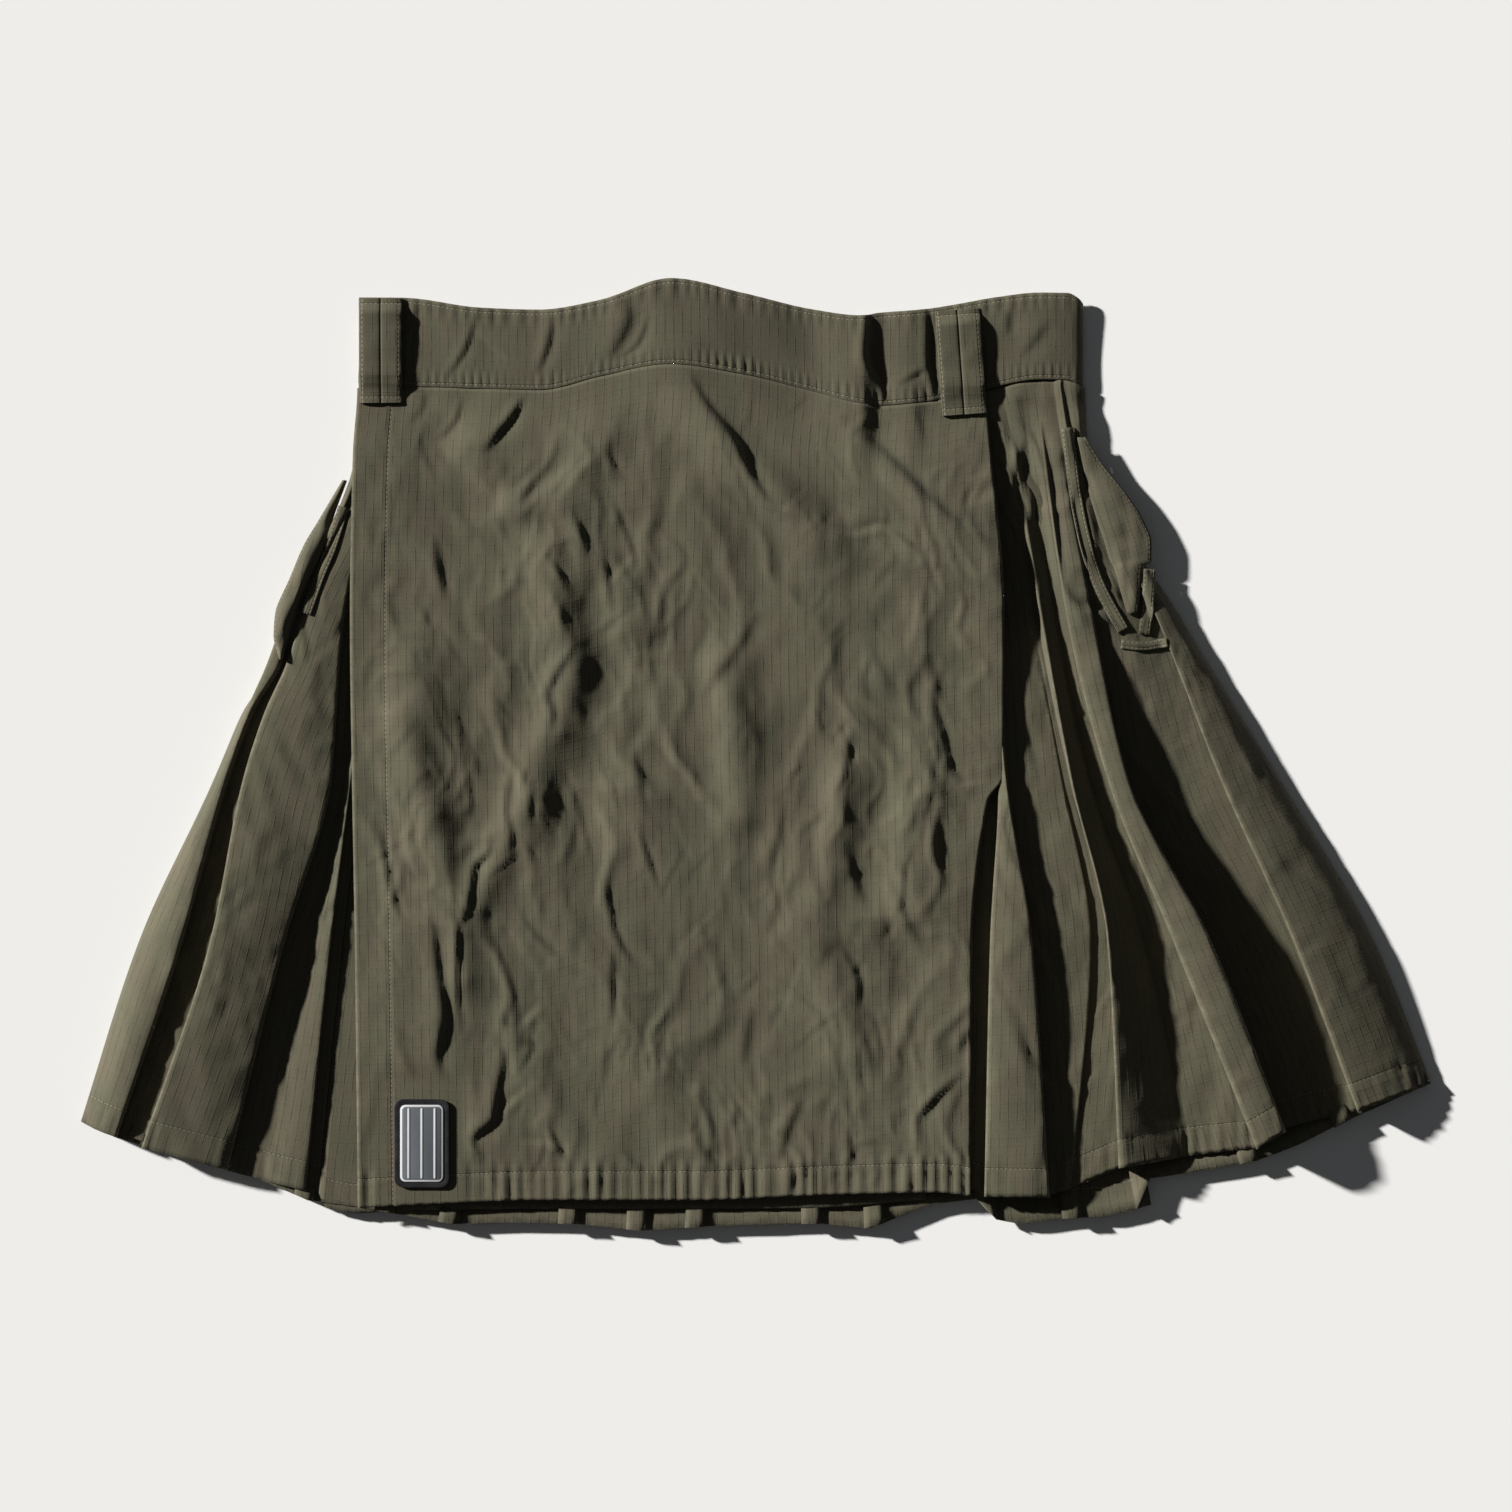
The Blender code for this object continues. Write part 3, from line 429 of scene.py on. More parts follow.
# %% [markdown]
# Cloth is never even. Soft noise gives slow unevenness, gathers are the small waves that stitching draws in
# along a seam, and crumples are sharp ridges where the noise crosses its middle, gathered in zones.

# %% Soft noise, gathers and crumples
def ease(t):
    t = np.clip(t, 0, 1)
    return t * t * (3 - 2 * t)


def unevenness(x, y, size_x, size_y, seed):
    """Soft noise from -1 to 1 whose bumps have the given size in millimetres."""
    heights = np.random.default_rng(seed).uniform(-1, 1, (97, 97))
    u = np.asarray(x, float) / size_x + 40
    v = np.asarray(y, float) / size_y + 40
    i = np.floor(u).astype(int)
    j = np.floor(v).astype(int)
    s = ease(u - i)
    t = ease(v - j)
    corners = [heights[(i + a) % 97, (j + b) % 97] for a in (0, 1) for b in (0, 1)]
    return (corners[0] * (1 - t) + corners[1] * t) * (1 - s) + (corners[2] * (1 - t) + corners[3] * t) * s


def gathers(along, pitch, seed):
    """Uneven small gathers along a seam, from -1 to 1."""
    wander = unevenness(along, 0 * along, pitch * 3, 1, seed)
    size = 0.65 + 0.35 * unevenness(along, 0 * along, pitch * 1.7, 1, seed + 1)
    return np.cos(2 * np.pi * (along / pitch + 0.45 * wander)) * size


# Size of the noise across and down, how far its ridges lean, and their height
CRUMPLE_LAYERS = ((30, 74, 0.5, 1.15), (22, 50, -0.3, 0.7), (9, 20, 0.15, 0.45))


def crumples(x, y, seed):
    """Sharp irregular ridges of cloth that was folded away, in zones, from about -1 to 1."""
    total = np.zeros(np.shape(x))
    x = x + 16 * unevenness(x, y, 44, 52, seed + 20) + 6 * unevenness(x, y, 17, 21, seed + 21)
    y = y + 18 * unevenness(x, y, 38, 47, seed + 22)
    for number, (size_x, size_y, lean, height) in enumerate(CRUMPLE_LAYERS):
        ridges = 1 - 3.2 * np.abs(unevenness(x + lean * y, y, size_x, size_y, seed + number))
        zone = ease(0.5 + 1.1 * unevenness(x, y, 70, 85, seed + 10 + number))
        total = total + height * (0.12 + 0.88 * zone) * np.maximum(ridges, -0.9)
    return total


print("crumples:", np.round(np.std(crumples(np.arange(200.0), np.arange(200.0), 46)), 2))


# %% [markdown]
# A swell is a soft ridge along a line. A crease is sharper: a line with its crest on one side and its dip on
# the other, so that one side catches the light. The listed ones follow the photograph, and the faint
# short ones between them come from the seeded table.

# %% Swells and creases
def fine_line(line, count):
    """Points along a line that bends softly, and how far each is from its start."""
    line = np.array(line, float)
    reach = np.concatenate([[0], np.cumsum(np.hypot(*np.diff(line, axis=0).T))])
    at = np.linspace(0, reach[-1], count)
    return np.stack([smooth(reach, line[:, 0], at), smooth(reach, line[:, 1], at)], axis=1), at


def swell_height(x, y, swells):
    total = np.zeros(x.shape)
    for height, half_width, line in swells:
        nearest = np.full(x.shape, 1e9)
        for (ax, ay), (bx, by) in zip(line[:-1], line[1:]):
            along = ((x - ax) * (bx - ax) + (y - ay) * (by - ay)) / ((bx - ax) ** 2 + (by - ay) ** 2)
            along = np.clip(along, 0, 1)
            away = np.hypot(x - ax - along * (bx - ax), y - ay - along * (by - ay))
            nearest = np.minimum(nearest, away)
        total += height * np.exp(-((nearest / half_width) ** 2))
    return total


SHARPNESS = 0.6
CREASE_DEPTH = 0.6


def small_creases(count, box, drop, length, seed):
    """Short faint creases all over a box of cloth: places and slants come from a seeded table."""
    rng = np.random.default_rng(seed)
    creases = []
    for _ in range(count):
        x = rng.uniform(box[0], box[1])
        y = rng.uniform(box[2], box[3])
        slant = np.radians(rng.choice([-1, 1]) * rng.uniform(8, 58))
        size = rng.uniform(*length)
        bend = rng.uniform(-0.18, 0.18) * size
        dx = np.sin(slant) * size / 2
        dy = np.cos(slant) * size / 2
        middle = (x + bend * np.cos(slant), y - bend * np.sin(slant))
        deep = rng.uniform(*drop) * rng.choice([-1, 1, 1])
        creases.append((deep, rng.uniform(1.7, 4.5), ((x - dx, y + dy), middle, (x + dx, y - dy))))
    return creases


def crease_height(x, y, creases):
    """Creases: proud on one side of each line, sunk on the other, and gone at its ends."""
    total = np.zeros(x.shape)
    for drop, half_width, line in creases:
        points, at = fine_line(line, 5 * len(line) - 4)
        low = points.min(axis=0) - 5 * half_width
        high = points.max(axis=0) + 5 * half_width
        near = (x > low[0]) & (x < high[0]) & (y > low[1]) & (y < high[1])
        if not near.any():
            continue
        px = x[near]
        py = y[near]
        best = np.full(px.shape, 1e9)
        side = np.zeros(px.shape)
        place = np.zeros(px.shape)
        for (ax, ay), (bx, by), start, end in zip(points[:-1], points[1:], at[:-1], at[1:]):
            length = end - start
            dx = (bx - ax) / length
            dy = (by - ay) / length
            along = np.clip((px - ax) * dx + (py - ay) * dy, 0, length)
            away = np.hypot(px - ax - along * dx, py - ay - along * dy)
            closer = away < best
            best = np.where(closer, away, best)
            side = np.where(closer, (px - ax) * -dy + (py - ay) * dx, side)
            place = np.where(closer, start + along, place)
        fade = np.sqrt(ease(place / at[-1] * 2.2) * ease((1 - place / at[-1]) * 2.2))
        width = half_width * SHARPNESS * (0.6 + 0.4 * fade)
        t = best / width
        total[near] -= CREASE_DEPTH * drop * fade * np.sign(side) * t * np.exp(1 - t - 0.12 * t * t)
    return total


print("a small crease:", small_creases(1, (0, 9, 0, 9), (0.3, 0.9), (14, 55), 5)[0][0].round(2), "mm deep")


# %% [markdown]
# A grid becomes a mesh in code, because the panels are measured surfaces and no primitive comes near them.
# Solidify gives it the wall. The UV map holds millimetres across and down the cloth, so that the weave keeps
# its scale and follows each pleat, and point values tell the material where hems and worn folds are.

# %% Make a panel from its grid
def arc(points, axis):
    """Length along the rows or the columns of a grid, from its start."""
    steps = np.linalg.norm(np.diff(points, axis=axis), axis=2)
    zero = np.zeros_like(np.take(steps, [0], axis=axis))
    return np.concatenate([zero, np.cumsum(steps, axis=axis)], axis=axis)


def from_sides(points):
    """How far each point of a strip is from the nearer of its long edges."""
    side = arc(points, 1)
    return np.minimum(side, side[:, -1:] - side)


# Said as the distance from a stitched edge where a piece has none, in millimetres
NO_EDGE = 1000.0
pieces = {}


def add_panel(name, points, wall, to_hem, from_edge, worn, across=None, down=None, origin=None):
    """A shell about a grid of points in millimetres. origin is the column where a cell's weave starts."""
    rows, columns = points.shape[:2]
    across = arc(points, 1) if across is None else across
    down = arc(points, 0) if down is None else down
    r, c = np.meshgrid(np.arange(rows - 1), np.arange(columns - 1), indexing="ij")
    corner_r = np.stack([r, r + 1, r + 1, r], axis=2).reshape(-1, 4)
    corner_c = np.stack([c, c, c + 1, c + 1], axis=2).reshape(-1, 4)
    faces = corner_r * columns + corner_c
    mesh = bpy.data.meshes.new(name)
    mesh.from_pydata((points.reshape(-1, 3) * MM).tolist(), [], faces.tolist())
    u = across[corner_r, corner_c]
    if origin is not None:
        u = u - across[corner_r, np.repeat(origin[c.reshape(-1)][:, None], 4, axis=1)]
    v = down[corner_r, corner_c]
    layer = mesh.uv_layers.new(name="weave")
    layer.data.foreach_set("uv", np.stack([u, v], axis=2).reshape(-1).astype(np.float32) * MM)
    for key, value in (("to_hem", to_hem * MM), ("from_edge", from_edge * MM), ("worn", worn)):
        store = mesh.attributes.new(key, "FLOAT", "POINT")
        value = np.broadcast_to(value, (rows, columns))
        store.data.foreach_set("value", value.astype(np.float32).reshape(-1))
    mesh.polygons.foreach_set("use_smooth", np.ones(len(mesh.polygons), bool))
    mesh.update()
    obj = bpy.data.objects.new(name, mesh)
    bpy.context.scene.collection.objects.link(obj)
    shell = obj.modifiers.new("wall", "SOLIDIFY")
    shell.thickness = wall * MM
    shell.offset = 0
    pieces[name] = obj


def tree_of(*grids):
    """A search tree of grids, for finding the height of cloth under a place."""
    corners = []
    faces = []
    for grid in grids:
        rows, columns = grid.shape[:2]
        start = len(corners)
        corners += [tuple(p) for p in grid.reshape(-1, 3)]
        for r in range(rows - 1):
            for c in range(columns - 1):
                a = start + r * columns + c
                faces.append((a, a + columns, a + columns + 1, a + 1))
    return BVHTree.FromPolygons(corners, faces)


def top_at(tree, x, y, bare=0.0):
    hit = tree.ray_cast(Vector((x, y, 90)), Vector((0, 0, -1)))[0]
    return bare if hit is None else hit.z


# %% [markdown]
# ## Front waistband
# The band is a doubled strip, 58 to 62 mm deep. It bears the strain of the belt, so it has the deepest
# buckles, and its seam is gathered by the stitching in small puckers 5 to 6 mm apart.

# %% Front waistband
BAND_WALL = 2.0
SEAM_PUCKER_PITCH = 5.6
EDGE_PUCKER_PITCH = 8.5
band_x = np.linspace(BAND_FRONT[0][0], BAND_FRONT[-1][0], 262)
band_share = np.concatenate([[1, 0.992], np.linspace(0.975, 0.025, 34), [0.008, 0]])[:, None]
band_low = table(BAND_FRONT, 1, band_x)
band_high = table(BAND_FRONT, 2, band_x)
y = band_low + (band_high - band_low) * band_share
x = np.broadcast_to(band_x, y.shape)
z = table(BAND_FRONT, 3, x)
above_seam = y - band_low
below_top = band_high - y
z = z + crease_height(x, y, BAND_CREASES)
z = z + 0.8 * unevenness(x + 0.3 * y, y, 20, 34, 11) * ease(above_seam / 20)
z = z + 0.8 * gathers(x, SEAM_PUCKER_PITCH, 21) * ease(above_seam / 2.5) * ease((15 - above_seam) / 10)
z = z + 0.5 * gathers(x, EDGE_PUCKER_PITCH, 23) * ease((16 - below_top) / 12)
z = z - 0.7 * np.exp(-below_top / 1.3) - 0.4 * np.exp(-above_seam / 1.0)
band_points = np.stack([x, y, z], axis=2)
worn = np.exp(-below_top / 1.5)
add_panel("front_band", band_points, BAND_WALL, above_seam, below_top, worn, across=x, down=below_top)
print("front band:", len(pieces["front_band"].data.polygons), "cells")

# %% [markdown]
# ## Back and inner stretch of the waistband
# Seen from below, the band runs on across the back and turns over at the left into its inner stretch.

# %% Back stretch of the waistband
turn = (BAND_INNER_Z - BAND_BACK_Z) / 2
line = [(place, BAND_BACK_Z) for place in np.linspace(BAND_BACK_RIGHT_X, BAND_FOLD_LEFT_X, 90)]
for angle in np.radians((30, 60, 90, 120, 150)):
    line.append((BAND_FOLD_LEFT_X - turn * np.sin(angle), BAND_BACK_Z + turn - turn * np.cos(angle)))
line += [(place, BAND_INNER_Z) for place in np.linspace(BAND_FOLD_LEFT_X, BAND_INNER_END_X, 70)]
line = np.array(line)
heights = np.linspace(BAND_BACK_TOP_Y, INNER_SEAM_Y, 20)[:, None]
x = np.broadcast_to(line[:, 0], (20, len(line)))
y = np.broadcast_to(heights, x.shape)
z = np.broadcast_to(line[:, 1], x.shape) + 0.12 * gathers(x, 6, 31) * ease((16 - (y - INNER_SEAM_Y)) / 10)
back_band = np.stack([x, y, z], axis=2)
add_panel("back_band", back_band, BAND_WALL, y - INNER_SEAM_Y, BAND_BACK_TOP_Y - y, 0)
print("back band:", len(line), "columns")


# %% [markdown]
# ## The over-apron
# The widest panel lies on everything else. It leaves the band at the band's height and settles on the pile
# below. Its free edge has a stitched facing, and its hem is 19 mm deep and puckered by the stitching.

# %% Height of the apron's cloth
HEM_DEPTH = 19.0
HEM_PUCKER_PITCH = 9.2
FACING = 24.0
DEEPEST_DENT = 4.6
PATCH_REACH = (26, 40)
PATCH_PLACE = tuple((low + high) / 2 / MM for low, high in zip(*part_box("rubber_patch")))
SMALL_APRON_CREASES = tuple(small_creases(130, (-250, 150, -285, 240), (0.3, 0.9), (14, 55), 5))


def apron_height(x, y, hem_y, left):
    seam_y = table(BAND_FRONT, 1, x)
    seam_z = table(BAND_FRONT, 3, x)
    part = ease((seam_y - y) / APRON_SETTLE)
    calm = np.clip(part * 1.2, 0.15, 1)
    edge_calm = np.clip((x + 278) / 30, 0.1, 1) * np.clip((y + 312) / 40, 0.15, 1)
    raised = swell_height(x, y, APRON_SWELLS) * calm * edge_calm
    below = ease((seam_y - y - 1) / 8)
    raised = raised + crease_height(x, y, APRON_CREASES + SMALL_APRON_CREASES) * below
    raised = raised + 1.6 * unevenness(x + 0.45 * y, y, 34, 80, 40) * part * edge_calm
    raised = raised + 1.0 * crumples(x, y, 46) * (0.3 + 0.7 * part) * edge_calm
    raised = raised + 0.25 * unevenness(x, y, 6, 13, 42) * part
    up = y - hem_y
    puckered = ease((HEM_DEPTH + 12 - up) / 14)
    raised = raised + 1.05 * gathers(x, HEM_PUCKER_PITCH, 43) * ease(up / 5 + 0.45) * puckered
    raised = raised - 0.5 * np.exp(-(((up - HEM_DEPTH) / 1.4) ** 2))
    off_x = np.abs(x - PATCH_PLACE[0]) / PATCH_REACH[0]
    off_y = np.abs(y - PATCH_PLACE[1]) / PATCH_REACH[1]
    under_patch = np.clip(1.4 - np.maximum(off_x, off_y), 0, 1)
    raised = raised * (1 - ease(under_patch / 0.4))
    inside = x - left
    raised = raised + 0.25 * gathers(y, 7, 45) * np.exp(-(((inside - FACING) / 5) ** 2))
    raised = raised - 0.35 * np.exp(-(((inside - FACING) / 1.2) ** 2))
    raised = np.where(raised < 0, -DEEPEST_DENT * np.tanh(-raised / DEEPEST_DENT), raised)
    lie = APRON_LIE_Z + 1.5 * np.clip((x - 60) / 60, 0, 1)
    return seam_z + (lie - seam_z) * part + raised


# %% Over-apron
APRON_ROWS = 226
APRON_COLUMNS = 196
share_y = np.concatenate([np.linspace(0, 0.9, APRON_ROWS - 26), np.linspace(0.9, 1, 27)[1:]])[:, None]
share_x = np.linspace(0, 1, APRON_COLUMNS)
top_x = APRON_EDGES[1][1] + (APRON_EDGES[1][2] - APRON_EDGES[1][1]) * share_x
hem_x = APRON_EDGES[-1][1] + (APRON_EDGES[-1][2] - APRON_EDGES[-1][1]) * share_x
top_y = table(BAND_FRONT, 1, top_x) - SEAM_GAP
hem_y = table(APRON_HEM, 1, hem_x) + 0.35 * gathers(hem_x, HEM_PUCKER_PITCH, 43)
y = top_y + (hem_y - top_y) * share_y
left = table(APRON_EDGES, 1, y)
right = table(APRON_EDGES, 2, y)
x = left + (right - left) * share_x
apron_points = np.stack([x, y, apron_height(x, y, hem_y, left)], axis=2)
worn = np.exp(-(x - left) / 1.4) + np.exp(-(right - x) / 1.4) + np.exp(-(y - hem_y) / 1.2)
add_panel(
    "over_apron_cloth", apron_points, SHELL, y - hem_y, x - left, worn, across=x - left, down=top_y - y,
)
print("apron:", len(pieces["over_apron_cloth"].data.polygons), "cells")


# %% [markdown]
# ## Pleated sides
# A pleat's fold is a line from waist to hem, with a tuck turned under it. The panel is lofted from line to
# line, with its points close together at the folds, and then eased a little, which rolls the folds as pressed
# cotton rolls. The faces between are slightly crowned.

# %% Loft a pleated side
SMALL_PLEAT_CREASES = tuple(
    small_creases(60, (160, 430, -240, 230), (0.25, 0.8), (14, 45), 6)
    + small_creases(40, (-440, -270, -240, 150), (0.25, 0.8), (14, 45), 7)
)
TUCK_STEP = 2.2
FACE_STEP = 3.4


def fold_line(fold, share, top_of_seam, beside, below, nip):
    top_y = top_of_seam(fold.x[0] + beside * fold.tuck[0]) - SEAM_GAP
    y = top_y + (WAIST_Y - fold.length - top_y) * share
    stations = DOWN + (fold.length,)
    down = WAIST_Y - y
    x = smooth(stations, fold.x, down) + beside * smooth(stations, fold.tuck, down)
    x = x + nip[2] * NIP_SHARE.get(fold.name, 0) * np.exp(-(((y - nip[0]) / nip[1]) ** 2))
    z = smooth(stations, fold.z, down) - below * smooth(stations, fold.drop, down)
    return np.stack([x, y, z], axis=1)


def lofted_folds(folds, top_of_seam, rows, nip=(0, 1, 0), crown=1.6):
    """The grid of a pleated side, the first column of each face, and how near each point is to a fold."""
    share = np.linspace(0, 1, rows)
    lines = []
    edges = []
    turned = []
    for fold in folds:
        if fold.turn == "left":
            lines.append(fold_line(fold, share, top_of_seam, 1, 1, nip))
        edges.append(len(lines))
        if fold.turn != "soft":
            turned.append(len(lines))
        lines.append(fold_line(fold, share, top_of_seam, 0, 0, nip))
        if fold.turn == "right":
            lines.append(fold_line(fold, share, top_of_seam, -1, 1, nip))
    columns = [lines[0]]
    origin = []
    fold_columns = []
    for number, (a, b) in enumerate(zip(lines[:-1], lines[1:])):
        face = number in edges and number + 1 in edges
        widest = np.linalg.norm(b - a, axis=1).max()
        steps = int(np.clip(round(widest / (FACE_STEP if face else TUCK_STEP)), 4, 30))
        start = len(columns) - 1
        part = 0.5 - 0.5 * np.cos(np.pi * np.arange(1, steps + 1) / steps)
        part = 0.6 * part + 0.4 * np.arange(1, steps + 1) / steps
        for t in part:
            column = a + (b - a) * t
            if face:
                width = np.linalg.norm(b - a, axis=1)
                column[:, 2] += crown * np.sin(np.pi * t) * np.clip(width / 45, 0, 1)
            columns.append(column)
            origin.append(start)
        if number + 1 in turned:
            fold_columns.append(len(columns) - 1)
    points = np.stack(columns, axis=1)
    for _ in range(3):
        eased = points.copy()
        eased[:, 1:-1] = (points[:, :-2] + 2 * points[:, 1:-1] + points[:, 2:]) / 4
        points = eased
    across = arc(points, 1)
    near = np.min([np.abs(across - across[:, [c]]) for c in fold_columns], axis=0)
    return points, np.array(origin), np.exp(-near / 1.6)


def dress_pleats(points, seed):
    """Creases, puckered hem and uneven cloth on a lofted side."""
    x = points[:, :, 0]
    y = points[:, :, 1]
    hem = arc(points, 0)
    up = hem[-1] - hem
    free = np.clip((points[:, :, 2] - 1.2) / 6, 0, 1)
    near_pockets = 0.6 + 0.9 * ease((y - 85) / 40)
    raised = crease_height(x, y, PLEAT_CREASES + SMALL_PLEAT_CREASES) + near_pockets * crumples(x, y, seed)
    raised = raised + 0.2 * unevenness(x, y, 6, 9, seed + 1)
    raised = raised + 0.8 * gathers(arc(points, 1), 9, seed + 2) * ease((HEM_DEPTH + 8 - up) / 12)
    raised = raised - 0.45 * np.exp(-(((up - HEM_DEPTH) / 1.4) ** 2))
    points = points.copy()
    points[:, :, 2] += raised * free * ease(hem / 12)
    points[:, :, 2] = np.maximum(points[:, :, 2], SHELL / 2)
    return points, up


# %% Right side and left side
def front_seam(x):
    return table(BAND_FRONT, 1, x)


def inner_seam(x):
    return INNER_SEAM_Y


sides = {}
for name, folds, seam, nip, seed in (
    ("right_side_pleats", RIGHT_FOLDS, front_seam, (0, 1, 0), 61),
    ("left_side_pleats", LEFT_FOLDS, inner_seam, LEFT_NIP, 71),
):
    points, origin, worn = lofted_folds(folds, seam, 170, nip)
    points, up = dress_pleats(points, seed)
    sides[name] = points
    worn = worn * ease((130 - points[:, :, 1]) / 90)
    add_panel(name, points, SHELL, up, NO_EDGE, worn, origin=origin)
    print(name, points.shape[1], "columns")

# %% [markdown]
# ## The under-apron
# The inner front panel shows as a sliver left of the apron, and its hem peeps out below the apron's hem.

# %% Under-apron
joined = sides["left_side_pleats"][:, -1]
parts = np.concatenate([np.linspace(0, 0.1, 12), np.linspace(0.1, 1, 70)[1:]])
share = np.linspace(0, 1, len(joined))
right = table(UNDER_APRON_RIGHT, 1, joined[:, 1])
left = joined[:, 0] + SEAM_GAP
x = left[:, None] + (right - left)[:, None] * parts
hem_y = table(UNDER_APRON_HEM, 1, x[-1])
top_y = INNER_SEAM_Y - SEAM_GAP
y = top_y + (hem_y - top_y) * share[:, None]
y[:, 0] = joined[:, 1]
z = joined[:, 2][:, None] + (5.5 - joined[:, 2])[:, None] * np.clip(parts / 0.07, 0, 1)
up = y - y[-1]
z = z + 0.35 * gathers(x, 9, 81) * ease((HEM_DEPTH + 6 - up) / 10) * ease((x + 300) / 20)
under_points = np.stack([x, y, z], axis=2)
add_panel("under_apron_cloth", under_points, SHELL, up, NO_EDGE, np.exp(-up / 1.2))
print("under-apron:", under_points.shape[1], "columns")

# %% [markdown]
# ## The pleated back
# Knife pleats, each three layers thick, lie flat on the floor. Only their uneven hem shows from above, and
# the whole of them from below.

# %% Pleated back
BACK_TUCK_WAIST = 23.0
BACK_TUCK_HEM = 10.0
BACK_TURN = 2.4
FOOT_GAP = 1.15
BACK_LOW = 0.6
BACK_STEP = 1.55
BACK_ROWS = 72
BACK_CURL = 6.0


def side_line(foot, y):
    stations = DOWN + (foot.length,)
    slope = (foot.x[-1] - foot.x[-2]) / (foot.length - DOWN[-1])
    return smooth(stations, foot.x, WAIST_Y - y) + slope * np.maximum(WAIST_Y - y - foot.length, 0)


print("back folds:", len(BACK_FOLDS_HEM))

# %% [markdown]
# The panel runs from side to side. At each fold the cloth turns back under itself and forward again, so six
# columns of points per fold give the three layers, each with its own place on the uneven hem.

# %% Columns of the pleated back
share = np.linspace(0, 1, BACK_ROWS)
top_y = INNER_SEAM_Y - SEAM_GAP
left_foot = LEFT_FOLDS[0]
right_foot = RIGHT_FOLDS[-1]


def back_end(foot, nip, inward):
    y = top_y + (WAIST_Y - foot.length - top_y) * share
    x = side_line(foot, y) + nip[2] * np.exp(-(((y - nip[0]) / nip[1]) ** 2)) + inward
    return np.stack([x, y, np.full(BACK_ROWS, BACK_LOW)], axis=1)


columns = [back_end(left_foot, LEFT_NIP, FOOT_GAP)]
origin = []
for number, place in enumerate(BACK_FOLDS_HEM):
    fold_hem = straight(BACK_HEM, place)
    hem_left = side_line(left_foot, fold_hem)
    hem_part = (place - hem_left) / (side_line(right_foot, fold_hem) - hem_left)
    waist_part = (number + 1) / (len(BACK_FOLDS_HEM) + 1)
    for waist_shift, hem_shift, layer in (
        (0, 0, 0),
        (0, 0, 1),
        (-BACK_TUCK_WAIST, -BACK_TUCK_HEM, 1),
        (-BACK_TUCK_WAIST, -BACK_TUCK_HEM, 2),
        (BACK_TURN, BACK_TURN, 2),
        (BACK_TURN, BACK_TURN, 0),
    ):
        own_hem = straight(BACK_HEM, place + hem_shift)
        y = top_y + (own_hem - top_y) * share
        lower = (top_y - y) / (top_y - fold_hem)
        start = side_line(left_foot, y)
        part = waist_part + (hem_part - waist_part) * lower
        x = start + (side_line(right_foot, y) - start) * part
        x = x + waist_shift + (hem_shift - waist_shift) * lower
        end = np.stack([x, y, np.full(BACK_ROWS, BACK_LOW + layer * BACK_STEP)], axis=1)
        first = columns[-1]
        steps = 8 if layer == 0 and waist_shift == 0 else 3
        for t in np.arange(1, steps + 1) / steps:
            column = first + (end - first) * t
            if steps == 8:
                column[:, 1] = top_y + (straight(BACK_HEM, column[-1, 0]) - top_y) * share
            origin.append(len(columns) - 1)
            columns.append(column)
end = back_end(right_foot, (0, 1, 0), -FOOT_GAP)
first = columns[-1]
for t in np.arange(1, 9) / 8:
    origin.append(len(columns) - 1)
    columns.append(first + (end - first) * t)
back_points = np.stack(columns, axis=1)
up = back_points[:, :, 1] - back_points[-1, :, 1]
pucker = 0.5 * gathers(back_points[:, :, 0], 9, 91) * ease((HEM_DEPTH - up) / 8)
back_points[:, :, 2] += np.maximum(pucker, 0) + BACK_CURL * ease((12 - up) / 9)
add_panel("back_cloth", back_points, SHELL, up, NO_EDGE, np.exp(-up / 1.2))
print("back:", back_points.shape[1], "columns")

# %% [markdown]
# ## Belt loops
# Each loop is a folded strip, 30 mm wide and 72 mm long, whose two edges meet in a slit down its middle. Its
# ends are stitched down and its middle stands off the band, so a belt passes under it.

# %% Belt loops
LOOP_WALL = 1.3
SLIT = 0.7
LOOP_STANDS_OFF = 3.3
# Share of the loop's length, and how much of that height it has there
LOOP_LIFT = (
    (0, 0), (0.05, 0), (0.08, 0.4), (0.12, 0.9), (0.15, 1), (0.73, 1), (0.8, 0.75), (0.86, 0.3),
    (0.93, 0), (1, 0),
)
loop_side = np.array((-0.5, -0.488, -0.46, -0.4, -0.3, -0.2, -0.1, -0.05))
loop_ground = tree_of(band_points, apron_points)


